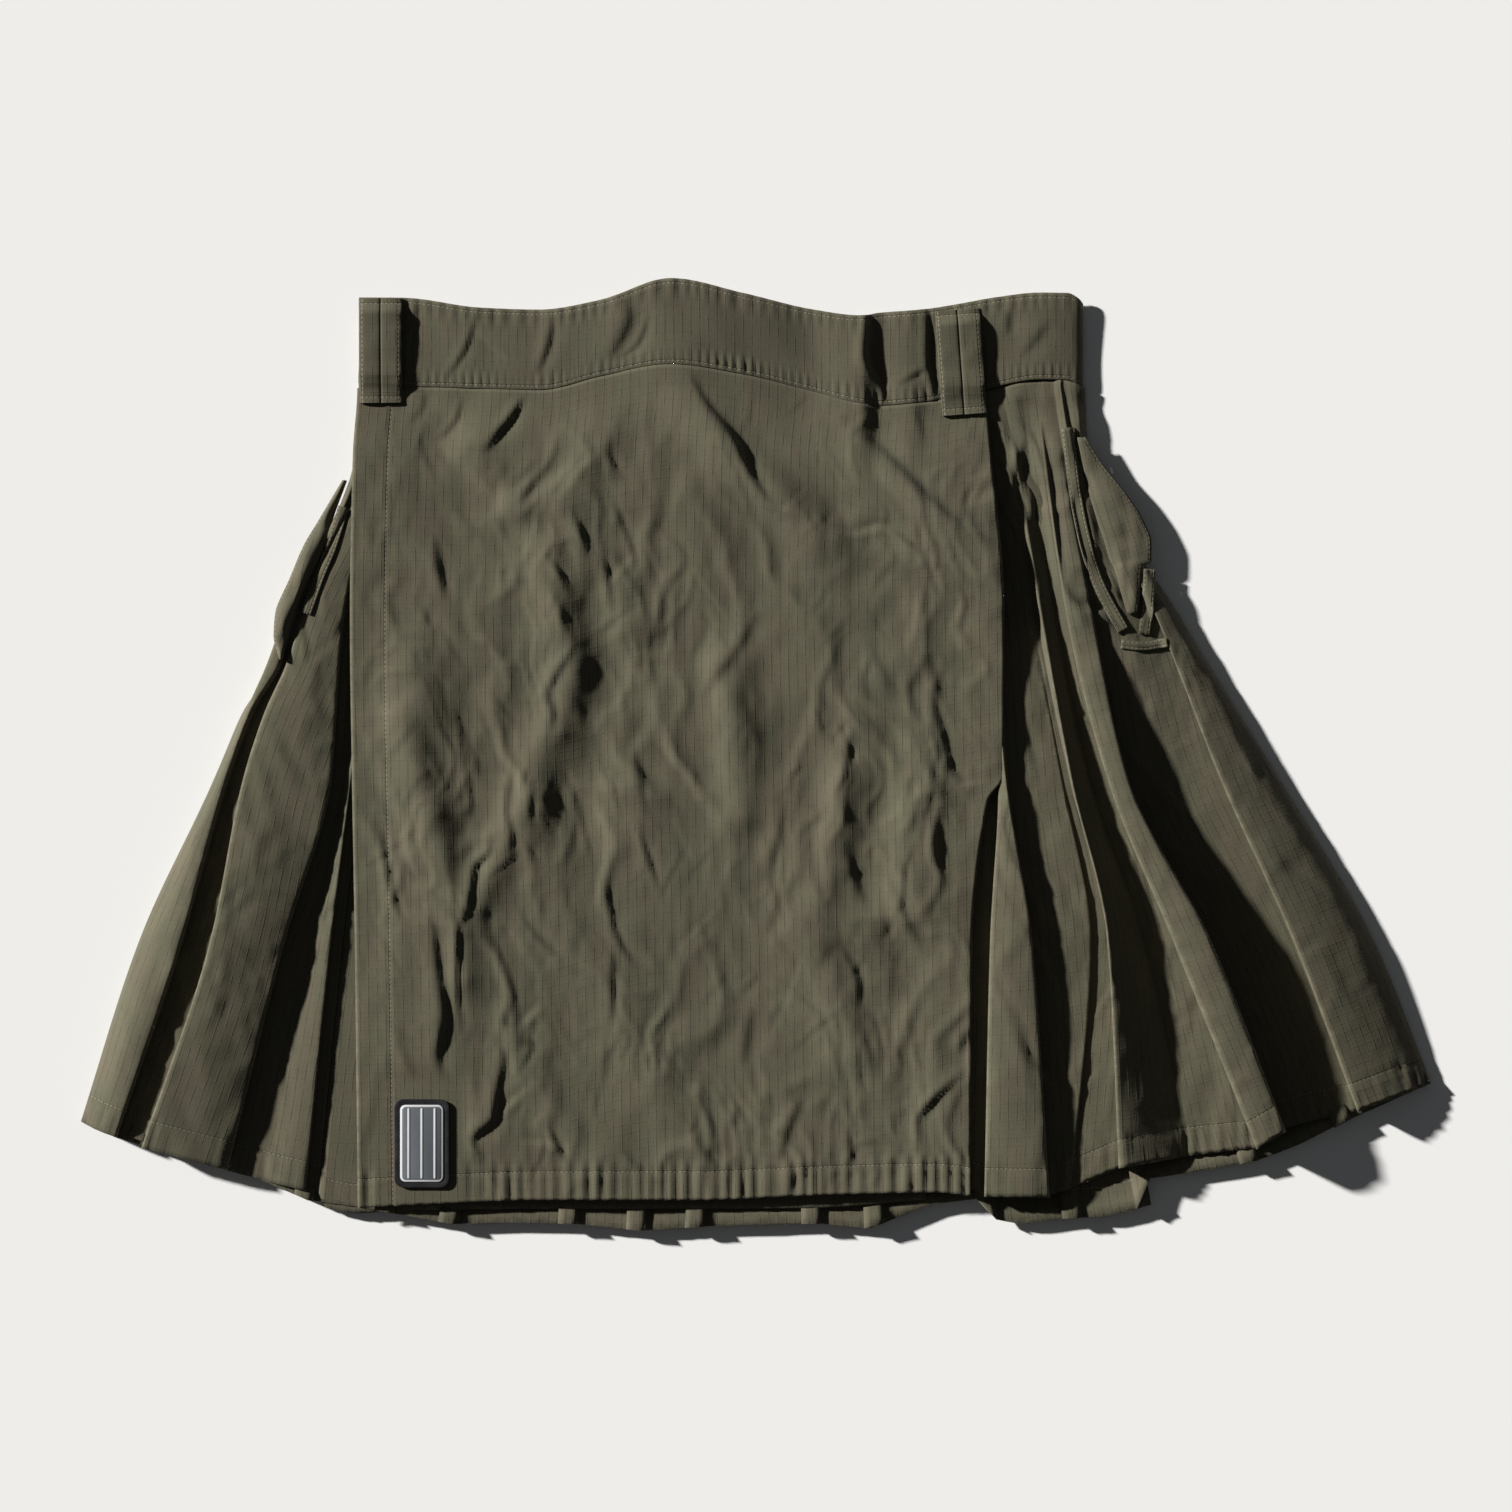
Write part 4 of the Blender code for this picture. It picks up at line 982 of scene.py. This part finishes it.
def loop_points(ends, width):
    (ax, ay), (bx, by) = ends
    length = np.hypot(bx - ax, by - ay)
    across = np.array([-(by - ay), bx - ax]) / length
    slit = SLIT / width
    side = np.concatenate([loop_side, [-slit, -slit * 0.4, slit * 0.4, slit], -loop_side[::-1]])
    share = np.concatenate([[0, 0.01], np.linspace(0.03, 0.97, 44), [0.985, 0.995, 1]])
    lift = straight(LOOP_LIFT, share)
    rows = []
    for t, raised in zip(share, lift):
        centre = np.array([ax + (bx - ax) * t, ay + (by - ay) * t])
        grounds = []
        for s in side:
            px, py = centre + across * s * width
            near = [top_at(loop_ground, px + dx, py + dy) for dx in (-2, 0, 2) for dy in (-2, 0, 2)]
            grounds.append(max(near))
        ground = max(grounds) if raised > 0.9 else None
        row = []
        for s, low in zip(side, grounds):
            px, py = centre + across * s * width
            plump = 0.45 * (1 - (abs(abs(s) - 0.25) / 0.25) ** 4)
            sunk = 1.3 * (abs(s) < slit * 0.9)
            base = (low if ground is None else ground) + 1.7 + raised * LOOP_STANDS_OFF
            row.append((px, py, base + plump - sunk - 0.5 * (abs(s) > 0.487)))
        rows.append(row)
    rows = np.array(rows)
    wave = unevenness(rows[:, :, 0], rows[:, :, 1], 9, 9, 17)
    rows[:, :, 2] += 0.3 * wave
    return rows


for name, ends, width in (
    ("loop_at_the_end", ((-255.4, 310.6), (-255, 239.4)), 28.4),
    ("loop_at_the_right", ((136.7, 302.9), (141.8, 231.5)), 30.0),
):
    rows = loop_points(ends, width)
    along = arc(rows, 0)
    to_end = along[-1] - along
    edge = from_sides(rows)
    worn = np.exp(-edge / 1.2) + np.exp(-to_end / 1.2)
    add_panel(name, rows, LOOP_WALL, np.minimum(along, to_end), edge, worn)
    print(name, rows.shape[:2], "points")

# %% [markdown]
# ## Pockets
# Each side pocket has a narrow welt along its mouth. The pocket cloth behind it stands out and gapes, and at
# the right a strip and a bar of stitches close the lower end of the mouth.

# %% Pocket strips
POCKET_WALL = 0.9
BARE_HEIGHT = 8.0
NEAR = (-1.5, 0, 1.5)
right_ground = tree_of(sides["right_side_pleats"])
left_ground = tree_of(sides["left_side_pleats"])


def settle(rows):
    """Even out the heights along a small piece."""
    for _ in range(2):
        rows[1:-1, :, 2] = (rows[:-2, :, 2] + 2 * rows[1:-1, :, 2] + rows[2:, :, 2]) / 4
    return rows


def strip_points(tree, line, width, steps):
    places = fine_line(line, steps)[0]
    along = np.gradient(places, axis=0)
    along /= np.hypot(along[:, 0], along[:, 1])[:, None]
    rows = []
    for (px, py), (ax, ay) in zip(places, along):
        row = []
        for side in np.linspace(-0.5, 0.5, 9):
            qx = px - ay * side * width
            qy = py + ax * side * width
            low = max(top_at(tree, qx + dx, qy + dy, BARE_HEIGHT) for dx in NEAR for dy in NEAR)
            row.append((qx, qy, low + 1.1 + 0.2 * (1 - (2 * side) ** 4)))
        rows.append(row)
    return settle(np.array(rows))


for name, tree, line, width, steps in (
    ("right_welt", right_ground, ((211.5, 222.4), (219, 167.3), (231.2, 120.4), (250.2, 84)), 8, 60),
    ("right_mouth_strip", right_ground, ((267.6, 126.4), (266.5, 102), (264.2, 82)), 8, 24),
    ("right_stitched_bar", right_ground, ((248, 75.5), (263, 74), (279, 76.5)), 6, 20),
    ("left_welt", left_ground, ((-280.5, 168.6), (-288.6, 141.4), (-297.2, 120.4), (-305.7, 96)), 7, 40),
):
    rows = strip_points(tree, line, width, steps)
    edge = from_sides(rows)
    add_panel(name, rows, POCKET_WALL, edge, edge, np.exp(-edge / 0.9))
print("pocket strips: 4")


# %% Gaping pocket cloths
def gape_points(tree, inner, outer, edge_z, dome, seed):
    share = np.linspace(0, 1, len(inner))
    fine = np.linspace(0, 1, 46)
    a = np.stack([smooth(share, np.array(inner, float)[:, k], fine) for k in (0, 1)], axis=1)
    b = np.stack([smooth(share, np.array(outer, float)[:, k], fine) for k in (0, 1)], axis=1)
    rows = []
    for start, end in zip(a, b):
        under = [top_at(tree, *(start + (end - start) * t)) + 1.4 for t in np.linspace(0, 1, 9)]
        level = max(under)
        row = []
        for t in np.linspace(0, 1, 18):
            px, py = start + (end - start) * t
            rise = ease(t / 0.3)
            row.append((px, py, under[0] + (level - under[0]) * rise + dome * np.sin(np.pi * t)))
        rows.append(row)
    rows = np.array(rows)
    lift = np.linspace(0, 1, 18) ** 2 * (ease(fine * 4) * ease((1 - fine) * 5))[:, None]
    rows[:, :, 2] += np.maximum(edge_z - rows[:, -1:, 2], 0) * lift
    x = rows[:, :, 0]
    y = rows[:, :, 1]
    crumpled = unevenness(x, y, 7, 11, seed) + 0.6 * crumples(x, y, seed)
    rows[:, :, 2] += (0.5 + 0.36 * dome) * crumpled * np.sin(np.pi * np.linspace(0, 1, 18))
    return settle(rows)


RIGHT_GAPE = (
    ((218.5, 216), (223, 195), (227, 177), (232, 160), (237, 145), (241, 132), (243.5, 127.6), (249, 108),
     (252.5, 96)),
    ((223.7, 216), (237.4, 195), (252, 177), (263, 160), (268.8, 145), (268.6, 132), (262, 127.6),
     (260.8, 108), (259, 96)),
)
LEFT_GAPE = (
    ((-279, 187), (-287, 165), (-294.5, 141.4), (-303.5, 120.4), (-312, 96), (-317, 80), (-322, 65)),
    ((-281.5, 187), (-294.5, 165), (-307.7, 141.4), (-316.5, 120.4), (-326.5, 96), (-327.5, 81),
     (-323.5, 65)),
)
for name, tree, (inner, outer), edge_z, dome, seed in (
    ("right_gaping_cloth", right_ground, RIGHT_GAPE, 10.5, 1.6, 101),
    ("left_gaping_cloth", left_ground, LEFT_GAPE, 4.0, 3.4, 103),
):
    rows = gape_points(tree, inner, outer, edge_z, dome, seed)
    side = arc(rows, 1)
    edge = side[:, -1:] - side
    add_panel(name, rows, POCKET_WALL, edge, edge, np.exp(-edge))
    print(name, rows.shape[:2], "points")

# %% [markdown]
# ## The rubber patch
# A soft rubber patch is moulded in layers: a black plate with a rim, a white line inside it, and a grey
# field with plain stripes. Each colour is a layer of its own, as in the mould, and is made as a plate: a cube
# at its size, with its upright edges beveled for the round corners and the rest softened.

# %% Rubber patch
patch_low, patch_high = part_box("rubber_patch")
patch_x = (patch_low.x + patch_high.x) / 2
patch_y = (patch_low.y + patch_high.y) / 2
patch_w = patch_high.x - patch_low.x
patch_h = patch_high.y - patch_low.y


def add_plate(name, centre, size, corner, low, high, soft=0.0003):
    """A plate with round corners and softened edges, in metres."""
    bpy.ops.object.select_all(action="DESELECT")
    middle = (*centre, (low + high) / 2)
    bpy.ops.mesh.primitive_cube_add(size=1, location=middle, scale=(*size, high - low))
    obj = bpy.context.object
    obj.name = name
    obj.data.name = name
    bpy.ops.object.transform_apply(location=True, rotation=False, scale=True)
    bpy.ops.object.mode_set(mode="EDIT")
    bpy.ops.mesh.select_all(action="DESELECT")
    bpy.ops.mesh.select_mode(type="EDGE")
    bpy.ops.object.mode_set(mode="OBJECT")
    for edge in obj.data.edges:
        a, b = (obj.data.vertices[v].co for v in edge.vertices)
        edge.select = abs(a.z - b.z) > 1e-5
    bpy.ops.object.mode_set(mode="EDIT")
    bpy.ops.mesh.bevel(offset=corner, segments=6, affect="EDGES")
    bpy.ops.object.mode_set(mode="OBJECT")
    round_edges = obj.modifiers.new("soft_edge", "BEVEL")
    round_edges.limit_method = "ANGLE"
    round_edges.angle_limit = np.radians(50)
    round_edges.width = soft
    round_edges.segments = 2
    bpy.ops.object.modifier_apply(modifier=round_edges.name)
    bpy.ops.object.shade_smooth_by_angle(angle=np.radians(40))
    pieces[name] = obj


print("patch place:", round(patch_x, 3), round(patch_y, 3))


# %% Rim and layers of the patch
def inset_ring(obj, inset, depth):
    """Sink the top of a plate inside a rim."""
    bpy.context.view_layer.objects.active = obj
    top = max(v.co.z for v in obj.data.vertices)
    for polygon in obj.data.polygons:
        flat = all(abs(obj.data.vertices[v].co.z - top) < 1e-6 for v in polygon.vertices)
        polygon.select = flat and polygon.normal.z > 0.99
    bpy.ops.object.mode_set(mode="EDIT")
    bpy.ops.mesh.select_mode(type="FACE")
    bpy.ops.mesh.inset(thickness=inset, depth=-depth)
    bpy.ops.object.mode_set(mode="OBJECT")


WHITE_INSET = 0.0039
GREY_INSET = 0.0052
STRIPES = 3
STRIPE_WIDTH = 0.0014
STRIPE_INSET = 0.0061

base = patch_low.z
centre = (patch_x, patch_y)
add_plate("patch_plate", centre, (patch_w, patch_h), 0.006, base, base + 0.0019)
inset_ring(pieces["patch_plate"], 0.0022, 0.0004)
for name, inset, corner, low, high in (
    ("patch_white_line", WHITE_INSET, 0.0036, 0.0008, 0.0021),
    ("patch_grey_field", GREY_INSET, 0.0024, 0.001, 0.0023),
):
    size = (patch_w - 2 * inset, patch_h - 2 * inset)
    add_plate(name, centre, size, corner, base + low, base + high)
for number in range(STRIPES):
    offset = (number - (STRIPES - 1) / 2) * (patch_w - 2 * GREY_INSET) / STRIPES
    add_plate(
        f"patch_stripe_{number + 1}", (patch_x + offset, patch_y), (STRIPE_WIDTH, patch_h - 2 * STRIPE_INSET),
        0.0006, base + 0.0018, base + 0.0026, 0.0002,
    )
print("patch:", round(patch_w * 1000), "x", round(patch_h * 1000), "mm")

# %% [markdown]
# ## Ripstop cotton
# Ripstop has a thicker yarn every 6 mm, which shows as fine dark lines down the cloth and faint ones across.
# Between them the yarn is uneven, and the dye has faded to greener and browner patches. A node group makes
# this from the UV map, so that it follows every pleat, and every cotton finish uses the group.

# %% Node helpers
def new_group(name, inputs, outputs):
    group = bpy.data.node_groups.new(name, "ShaderNodeTree")
    for label, kind, value in inputs:
        socket = group.interface.new_socket(name=label, in_out="INPUT", socket_type=kind)
        if value is not None:
            socket.default_value = value
    for label, kind in outputs:
        group.interface.new_socket(name=label, in_out="OUTPUT", socket_type=kind)
    start = group.nodes.new("NodeGroupInput")
    end = group.nodes.new("NodeGroupOutput")
    return group, start, end


def math(tree, operation, a, b=None, clamp=False):
    node = tree.nodes.new("ShaderNodeMath")
    node.operation = operation
    node.use_clamp = clamp
    for socket, value in zip(node.inputs, (a, b)):
        if value is None:
            continue
        if isinstance(value, (int, float)):
            socket.default_value = value
        else:
            tree.links.new(value, socket)
    return node.outputs[0]


def noise(tree, vector, scale, detail=2.0, rough=0.5, stretch=(1, 1, 1)):
    mapping = tree.nodes.new("ShaderNodeMapping")
    mapping.inputs["Scale"].default_value = stretch
    tree.links.new(vector, mapping.inputs["Vector"])
    node = tree.nodes.new("ShaderNodeTexNoise")
    node.inputs["Scale"].default_value = scale
    node.inputs["Detail"].default_value = detail
    node.inputs["Roughness"].default_value = rough
    tree.links.new(mapping.outputs[0], node.inputs["Vector"])
    return node.outputs["Fac"]


def ramp(tree, value, low, high, to_low=0.0, to_high=1.0):
    node = tree.nodes.new("ShaderNodeMapRange")
    node.interpolation_type = "SMOOTHSTEP"
    for label, amount in zip(("From Min", "From Max", "To Min", "To Max"), (low, high, to_low, to_high)):
        node.inputs[label].default_value = amount
    tree.links.new(value, node.inputs["Value"])
    return node.outputs["Result"]


def blend_colours(tree, mask, a, b, mode="MIX"):
    node = tree.nodes.new("ShaderNodeMix")
    node.data_type = "RGBA"
    node.blend_type = mode
    for label, value in ((0, mask), (6, a), (7, b)):
        socket = node.inputs[label]
        if isinstance(value, bpy.types.NodeSocket):
            tree.links.new(value, socket)
        else:
            socket.default_value = value
    return node.outputs[2]


def new_material(name):
    material = bpy.data.materials.new(name)
    material.use_nodes = True
    return material, material.node_tree, material.node_tree.nodes["Principled BSDF"]


def wire(tree, shader, colour, roughness, height, strength, distance):
    """Join a finish to its shader, with its fine relief as a bump."""
    bump = tree.nodes.new("ShaderNodeBump")
    bump.inputs["Strength"].default_value = strength
    bump.inputs["Distance"].default_value = distance
    for source, socket in (
        (height, bump.inputs["Height"]),
        (bump.outputs[0], shader.inputs["Normal"]),
        (colour, shader.inputs["Base Color"]),
        (roughness, shader.inputs["Roughness"]),
    ):
        tree.links.new(source, socket)


print("node helpers: 7")


# %% [markdown]
# The ripstop group has the weave's millimetres and the place on the kilt as inputs. Yarns are lines at a
# pitch, broken by noise. Slubs are noise drawn out along the yarn, and the grain is finer still.

# %% Ripstop group
def ripstop_group():
    tree, start, end = new_group(
        "ripstop_cotton",
        (
            ("Weave", "NodeSocketVector", None),
            ("Place", "NodeSocketVector", None),
            ("Green", "NodeSocketColor", (0.1, 0.1, 0.07, 1)),
            ("Brown", "NodeSocketColor", (0.12, 0.1, 0.07, 1)),
            ("Yarn Pitch", "NodeSocketFloat", 0.0059),
        ),
        (("Color", "NodeSocketColor"), ("Roughness", "NodeSocketFloat"), ("Height", "NodeSocketFloat")),
    )
    weave = start.outputs["Weave"]
    split = tree.nodes.new("ShaderNodeSeparateXYZ")
    tree.links.new(weave, split.inputs[0])
    wobble = math(tree, "MULTIPLY", math(tree, "SUBTRACT", noise(tree, weave, 30, 1), 0.5), 0.0016)
    yarns = []
    for axis, seed in ((0, 0.0), (1, 0.5)):
        at = math(tree, "ADD", split.outputs[axis], wobble)
        turn = math(tree, "DIVIDE", at, start.outputs["Yarn Pitch"])
        turn = math(tree, "FRACT", math(tree, "ADD", turn, seed))
        off = math(tree, "ABSOLUTE", math(tree, "SUBTRACT", turn, 0.5))
        yarns.append(ramp(tree, off, 0.02, 0.11, 1.0, 0.0))
    broken = ramp(tree, noise(tree, weave, 90, 2, 0.6, (3, 1, 1)), 0.3, 0.62)
    upright = math(tree, "MULTIPLY", yarns[0], broken)
    level = math(tree, "MULTIPLY", yarns[1], broken)
    slub = noise(tree, weave, 520, 2, 0.6, (1.6, 0.045, 1))
    grain = noise(tree, weave, 900, 2, 0.7, (1, 0.8, 1))
    patches = noise(tree, start.outputs["Place"], 34, 3, 0.6, (1.7, 0.6, 1))
    shade = noise(tree, start.outputs["Place"], 17, 3, 0.55, (1.3, 0.8, 1))
    faded = ramp(tree, patches, 0.38, 0.64)
    colour = blend_colours(tree, faded, start.outputs["Green"], start.outputs["Brown"])
    light = ramp(tree, slub, 0.25, 0.75, 0.93, 1.06)
    light = math(tree, "ADD", light, ramp(tree, grain, 0.2, 0.8, -0.13, 0.13))
    light = math(tree, "MULTIPLY", light, ramp(tree, shade, 0.3, 0.7, 0.93, 1.07))
    light = math(tree, "SUBTRACT", light, math(tree, "MULTIPLY", upright, 0.30))
    light = math(tree, "SUBTRACT", light, math(tree, "MULTIPLY", level, 0.06))
    grey = tree.nodes.new("ShaderNodeCombineColor")
    for k in range(3):
        tree.links.new(light, grey.inputs[k])
    colour = blend_colours(tree, 1.0, colour, grey.outputs[0], "MULTIPLY")
    height = math(tree, "ADD", math(tree, "MULTIPLY", upright, 0.5), math(tree, "MULTIPLY", level, 0.35))
    height = math(tree, "ADD", height, math(tree, "MULTIPLY", slub, 0.5))
    height = math(tree, "ADD", height, math(tree, "MULTIPLY", grain, 0.6))
    tree.links.new(colour, end.inputs["Color"])
    tree.links.new(ramp(tree, grain, 0.2, 0.8, 0.78, 0.95), end.inputs["Roughness"])
    tree.links.new(height, end.inputs["Height"])
    return tree


ripstop = ripstop_group()
print("node group:", ripstop.name)


# %% [markdown]
# A stitch row needs only the distance from an edge, which the panels carry as a point value, and the length
# along it. The thread is a row of dashes, in a dent that is a little wider.

# %% Stitch group
def stitch_group():
    """A row of stitches at a distance from an edge: thread and the dent it pulls."""
    tree, start, end = new_group(
        "stitch_row",
        (
            ("Distance", "NodeSocketFloat", 0.0),
            ("Along", "NodeSocketFloat", 0.0),
            ("At", "NodeSocketFloat", 0.019),
            ("Stitch", "NodeSocketFloat", 0.0032),
        ),
        (("Thread", "NodeSocketFloat"), ("Dent", "NodeSocketFloat")),
    )
    off = math(tree, "ABSOLUTE", math(tree, "SUBTRACT", start.outputs["Distance"], start.outputs["At"]))
    turn = math(tree, "FRACT", math(tree, "DIVIDE", start.outputs["Along"], start.outputs["Stitch"]))
    dash = ramp(tree, math(tree, "ABSOLUTE", math(tree, "SUBTRACT", turn, 0.5)), 0.3, 0.38, 1.0, 0.0)
    thread = math(tree, "MULTIPLY", ramp(tree, off, 0.00028, 0.0005, 1.0, 0.0), dash)
    tree.links.new(thread, end.inputs["Thread"])
    tree.links.new(ramp(tree, off, 0.0003, 0.0012, 1.0, 0.0), end.inputs["Dent"])
    return tree


stitches = stitch_group()
print("node group:", stitches.name)


# %% [markdown]
# A cotton finish places the group and adds rows of stitches and pale, worn folds. Values that are the same
# all over are set on the shader itself.

# %% Cotton finishes
STITCH_SHADE = (0.03, 0.027, 0.018, 1)
THREAD = (0.19, 0.175, 0.12, 1)
RUBBED_PALE = (0.21, 0.19, 0.13, 1)


def cotton(name, green, brown, rows):
    """A finish of ripstop cotton. rows are (point value, UV axis along, distance from the edge in metres)."""
    material, tree, shader = new_material(name)
    shader.inputs["Specular IOR Level"].default_value = 0.25
    shader.inputs["Sheen Weight"].default_value = 0.12
    shader.inputs["Sheen Roughness"].default_value = 0.5
    uv = tree.nodes.new("ShaderNodeUVMap")
    uv.uv_map = "weave"
    place = tree.nodes.new("ShaderNodeTexCoord")
    cloth = tree.nodes.new("ShaderNodeGroup")
    cloth.node_tree = ripstop
    cloth.inputs["Green"].default_value = (*green, 1)
    cloth.inputs["Brown"].default_value = (*brown, 1)
    tree.links.new(uv.outputs[0], cloth.inputs["Weave"])
    tree.links.new(place.outputs["Object"], cloth.inputs["Place"])
    split = tree.nodes.new("ShaderNodeSeparateXYZ")
    tree.links.new(uv.outputs[0], split.inputs[0])
    colour = cloth.outputs["Color"]
    height = cloth.outputs["Height"]
    for value, axis, at in rows:
        distance = tree.nodes.new("ShaderNodeAttribute")
        distance.attribute_name = value
        row = tree.nodes.new("ShaderNodeGroup")
        row.node_tree = stitches
        row.inputs["At"].default_value = at
        tree.links.new(distance.outputs["Fac"], row.inputs["Distance"])
        tree.links.new(split.outputs[axis], row.inputs["Along"])
        shaded = math(tree, "MULTIPLY", row.outputs["Dent"], 0.35)
        colour = blend_colours(tree, shaded, colour, STITCH_SHADE)
        sewn = math(tree, "MULTIPLY", row.outputs["Thread"], 0.8)
        colour = blend_colours(tree, sewn, colour, THREAD)
        height = math(tree, "SUBTRACT", height, math(tree, "MULTIPLY", row.outputs["Dent"], 1.6))
        height = math(tree, "ADD", height, math(tree, "MULTIPLY", row.outputs["Thread"], 1.8))
    worn = tree.nodes.new("ShaderNodeAttribute")
    worn.attribute_name = "worn"
    rubbed = ramp(tree, noise(tree, place.outputs["Object"], 160, 3, 0.6), 0.35, 0.7)
    rubbed = math(tree, "MULTIPLY", math(tree, "MULTIPLY", worn.outputs["Fac"], rubbed, True), 0.35)
    colour = blend_colours(tree, rubbed, colour, RUBBED_PALE)
    wire(tree, shader, colour, cloth.outputs["Roughness"], height, 0.5, 0.0003)
    return material


GREEN = (0.085, 0.0805, 0.0500)
BROWN = (0.093, 0.0810, 0.0520)
DIM_GREEN = tuple(0.92 * part for part in GREEN)
DIM_BROWN = tuple(0.92 * part for part in BROWN)
HEM_STITCH = ("to_hem", 0, 0.019)
apron_finish = cotton("apron_cotton", GREEN, BROWN, (HEM_STITCH, ("from_edge", 1, 0.024)))
pleat_finish = cotton("pleat_cotton", GREEN, BROWN, (HEM_STITCH,))
back_finish = cotton("back_cotton", DIM_GREEN, DIM_BROWN, (HEM_STITCH,))
band_finish = cotton("band_cotton", DIM_GREEN, DIM_BROWN, (("to_hem", 0, 0.0022), ("from_edge", 0, 0.003)))
loop_finish = cotton("loop_cotton", DIM_GREEN, DIM_BROWN, (("to_hem", 0, 0.004), ("from_edge", 1, 0.0022)))
pocket_finish = cotton("pocket_cotton", DIM_GREEN, DIM_BROWN, (("from_edge", 1, 0.0012),))
print("cotton finishes: 6")


# %% Rubber finishes
def rubber(name, colour, rough):
    """Soft moulded rubber with a fine matt grain and dust in patches."""
    material, tree, shader = new_material(name)
    place = tree.nodes.new("ShaderNodeTexCoord")
    grain = noise(tree, place.outputs["Object"], 1500, 3, 0.6)
    cloud = noise(tree, place.outputs["Object"], 90, 3, 0.6)
    dusty = (*(c * 0.7 + 0.03 for c in colour), 1)
    shade = blend_colours(tree, ramp(tree, cloud, 0.35, 0.75, 0.0, 0.35), (*colour, 1), dusty)
    roughness = ramp(tree, cloud, 0.2, 0.8, rough - 0.06, rough + 0.08)
    wire(tree, shader, shade, roughness, grain, 0.3, 0.00015)
    return material


black_rubber = rubber("black_rubber", (0.012, 0.012, 0.014), 0.42)
white_rubber = rubber("white_rubber", (0.62, 0.63, 0.64), 0.5)
grey_rubber = rubber("grey_rubber", (0.105, 0.115, 0.13), 0.5)
print("rubber finishes: 3")

# %% [markdown]
# ## Put it together
# Each piece gets its finish, rides on the one body of the part and stands for its solid. The table also
# lists the size each sheet was cut to, which nothing here uses.

# %% Finishes, bodies and cut sizes
# Piece, finish, node, slot
#     flat size, area if less, how it is held, what it rests on
dressed = (
    ("front_band", band_finish, "waistband_front", "band_cloth",
     (0.50, 0.066), None, "laid", "over_apron_cloth"),
    ("back_band", band_finish, "waistband_back", "band_cloth",
     (0.88, 0.058), None, "folded", "floor"),
    ("over_apron_cloth", apron_finish, "over_apron", "apron_cloth",
     (0.46, 0.57), None, "laid", "under_apron_cloth"),
    ("under_apron_cloth", apron_finish, "under_apron", "apron_cloth",
     (0.43, 0.56), None, "laid", "back_cloth"),
    ("right_side_pleats", pleat_finish, "right_pleats", "pleat_cloth",
     (0.52, 0.56), 0.17, "laid", "back_cloth"),
    ("left_side_pleats", pleat_finish, "left_pleats", "pleat_cloth",
     (0.26, 0.56), 0.075, "laid", "back_cloth"),
    ("back_cloth", back_finish, "pleated_back", "back_cloth",
     (1.35, 0.56), 0.58, "folded", "floor"),
    ("loop_at_the_end", loop_finish, "belt_loop_left", "loop_cloth",
     (0.031, 0.075), None, "laid", "front_band"),
    ("loop_at_the_right", loop_finish, "belt_loop_right", "loop_cloth",
     (0.032, 0.076), None, "laid", "front_band"),
    ("right_welt", pocket_finish, "right_pocket_welt", "pocket_cloth",
     (0.010, 0.146), None, "laid", "right_side_pleats"),
    ("right_mouth_strip", pocket_finish, "right_pocket_strip", "pocket_cloth",
     (0.010, 0.046), None, "laid", "right_side_pleats"),
    ("right_stitched_bar", pocket_finish, "right_pocket_bar", "pocket_cloth",
     (0.031, 0.010), 0.00025, "laid", "right_side_pleats"),
    ("left_welt", pocket_finish, "left_pocket_welt", "pocket_cloth",
     (0.010, 0.077), 0.00067, "laid", "left_side_pleats"),
    ("right_gaping_cloth", pocket_finish, "right_pocket_cloth", "pocket_cloth",
     (0.036, 0.128), 0.0026, "gathered", "right_side_pleats"),
    ("left_gaping_cloth", pocket_finish, "left_pocket_cloth", "pocket_cloth",
     (0.018, 0.128), 0.0019, "gathered", "left_side_pleats"),
)
for name, finish, node, slot, flat, area, held, under in dressed:
    piece = pieces[name]
    piece.data.materials.clear()
    piece.data.materials.append(finish)
    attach(piece, "root")
    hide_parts(node)

rubbers = {"patch_plate": black_rubber, "patch_grey_field": grey_rubber}
for name, piece in pieces.items():
    if not name.startswith("patch"):
        continue
    finish = rubbers.get(name, white_rubber)
    piece.data.materials.clear()
    piece.data.materials.append(finish)
    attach(piece, "root")
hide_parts("rubber_patch")
print("pieces:", len(pieces))
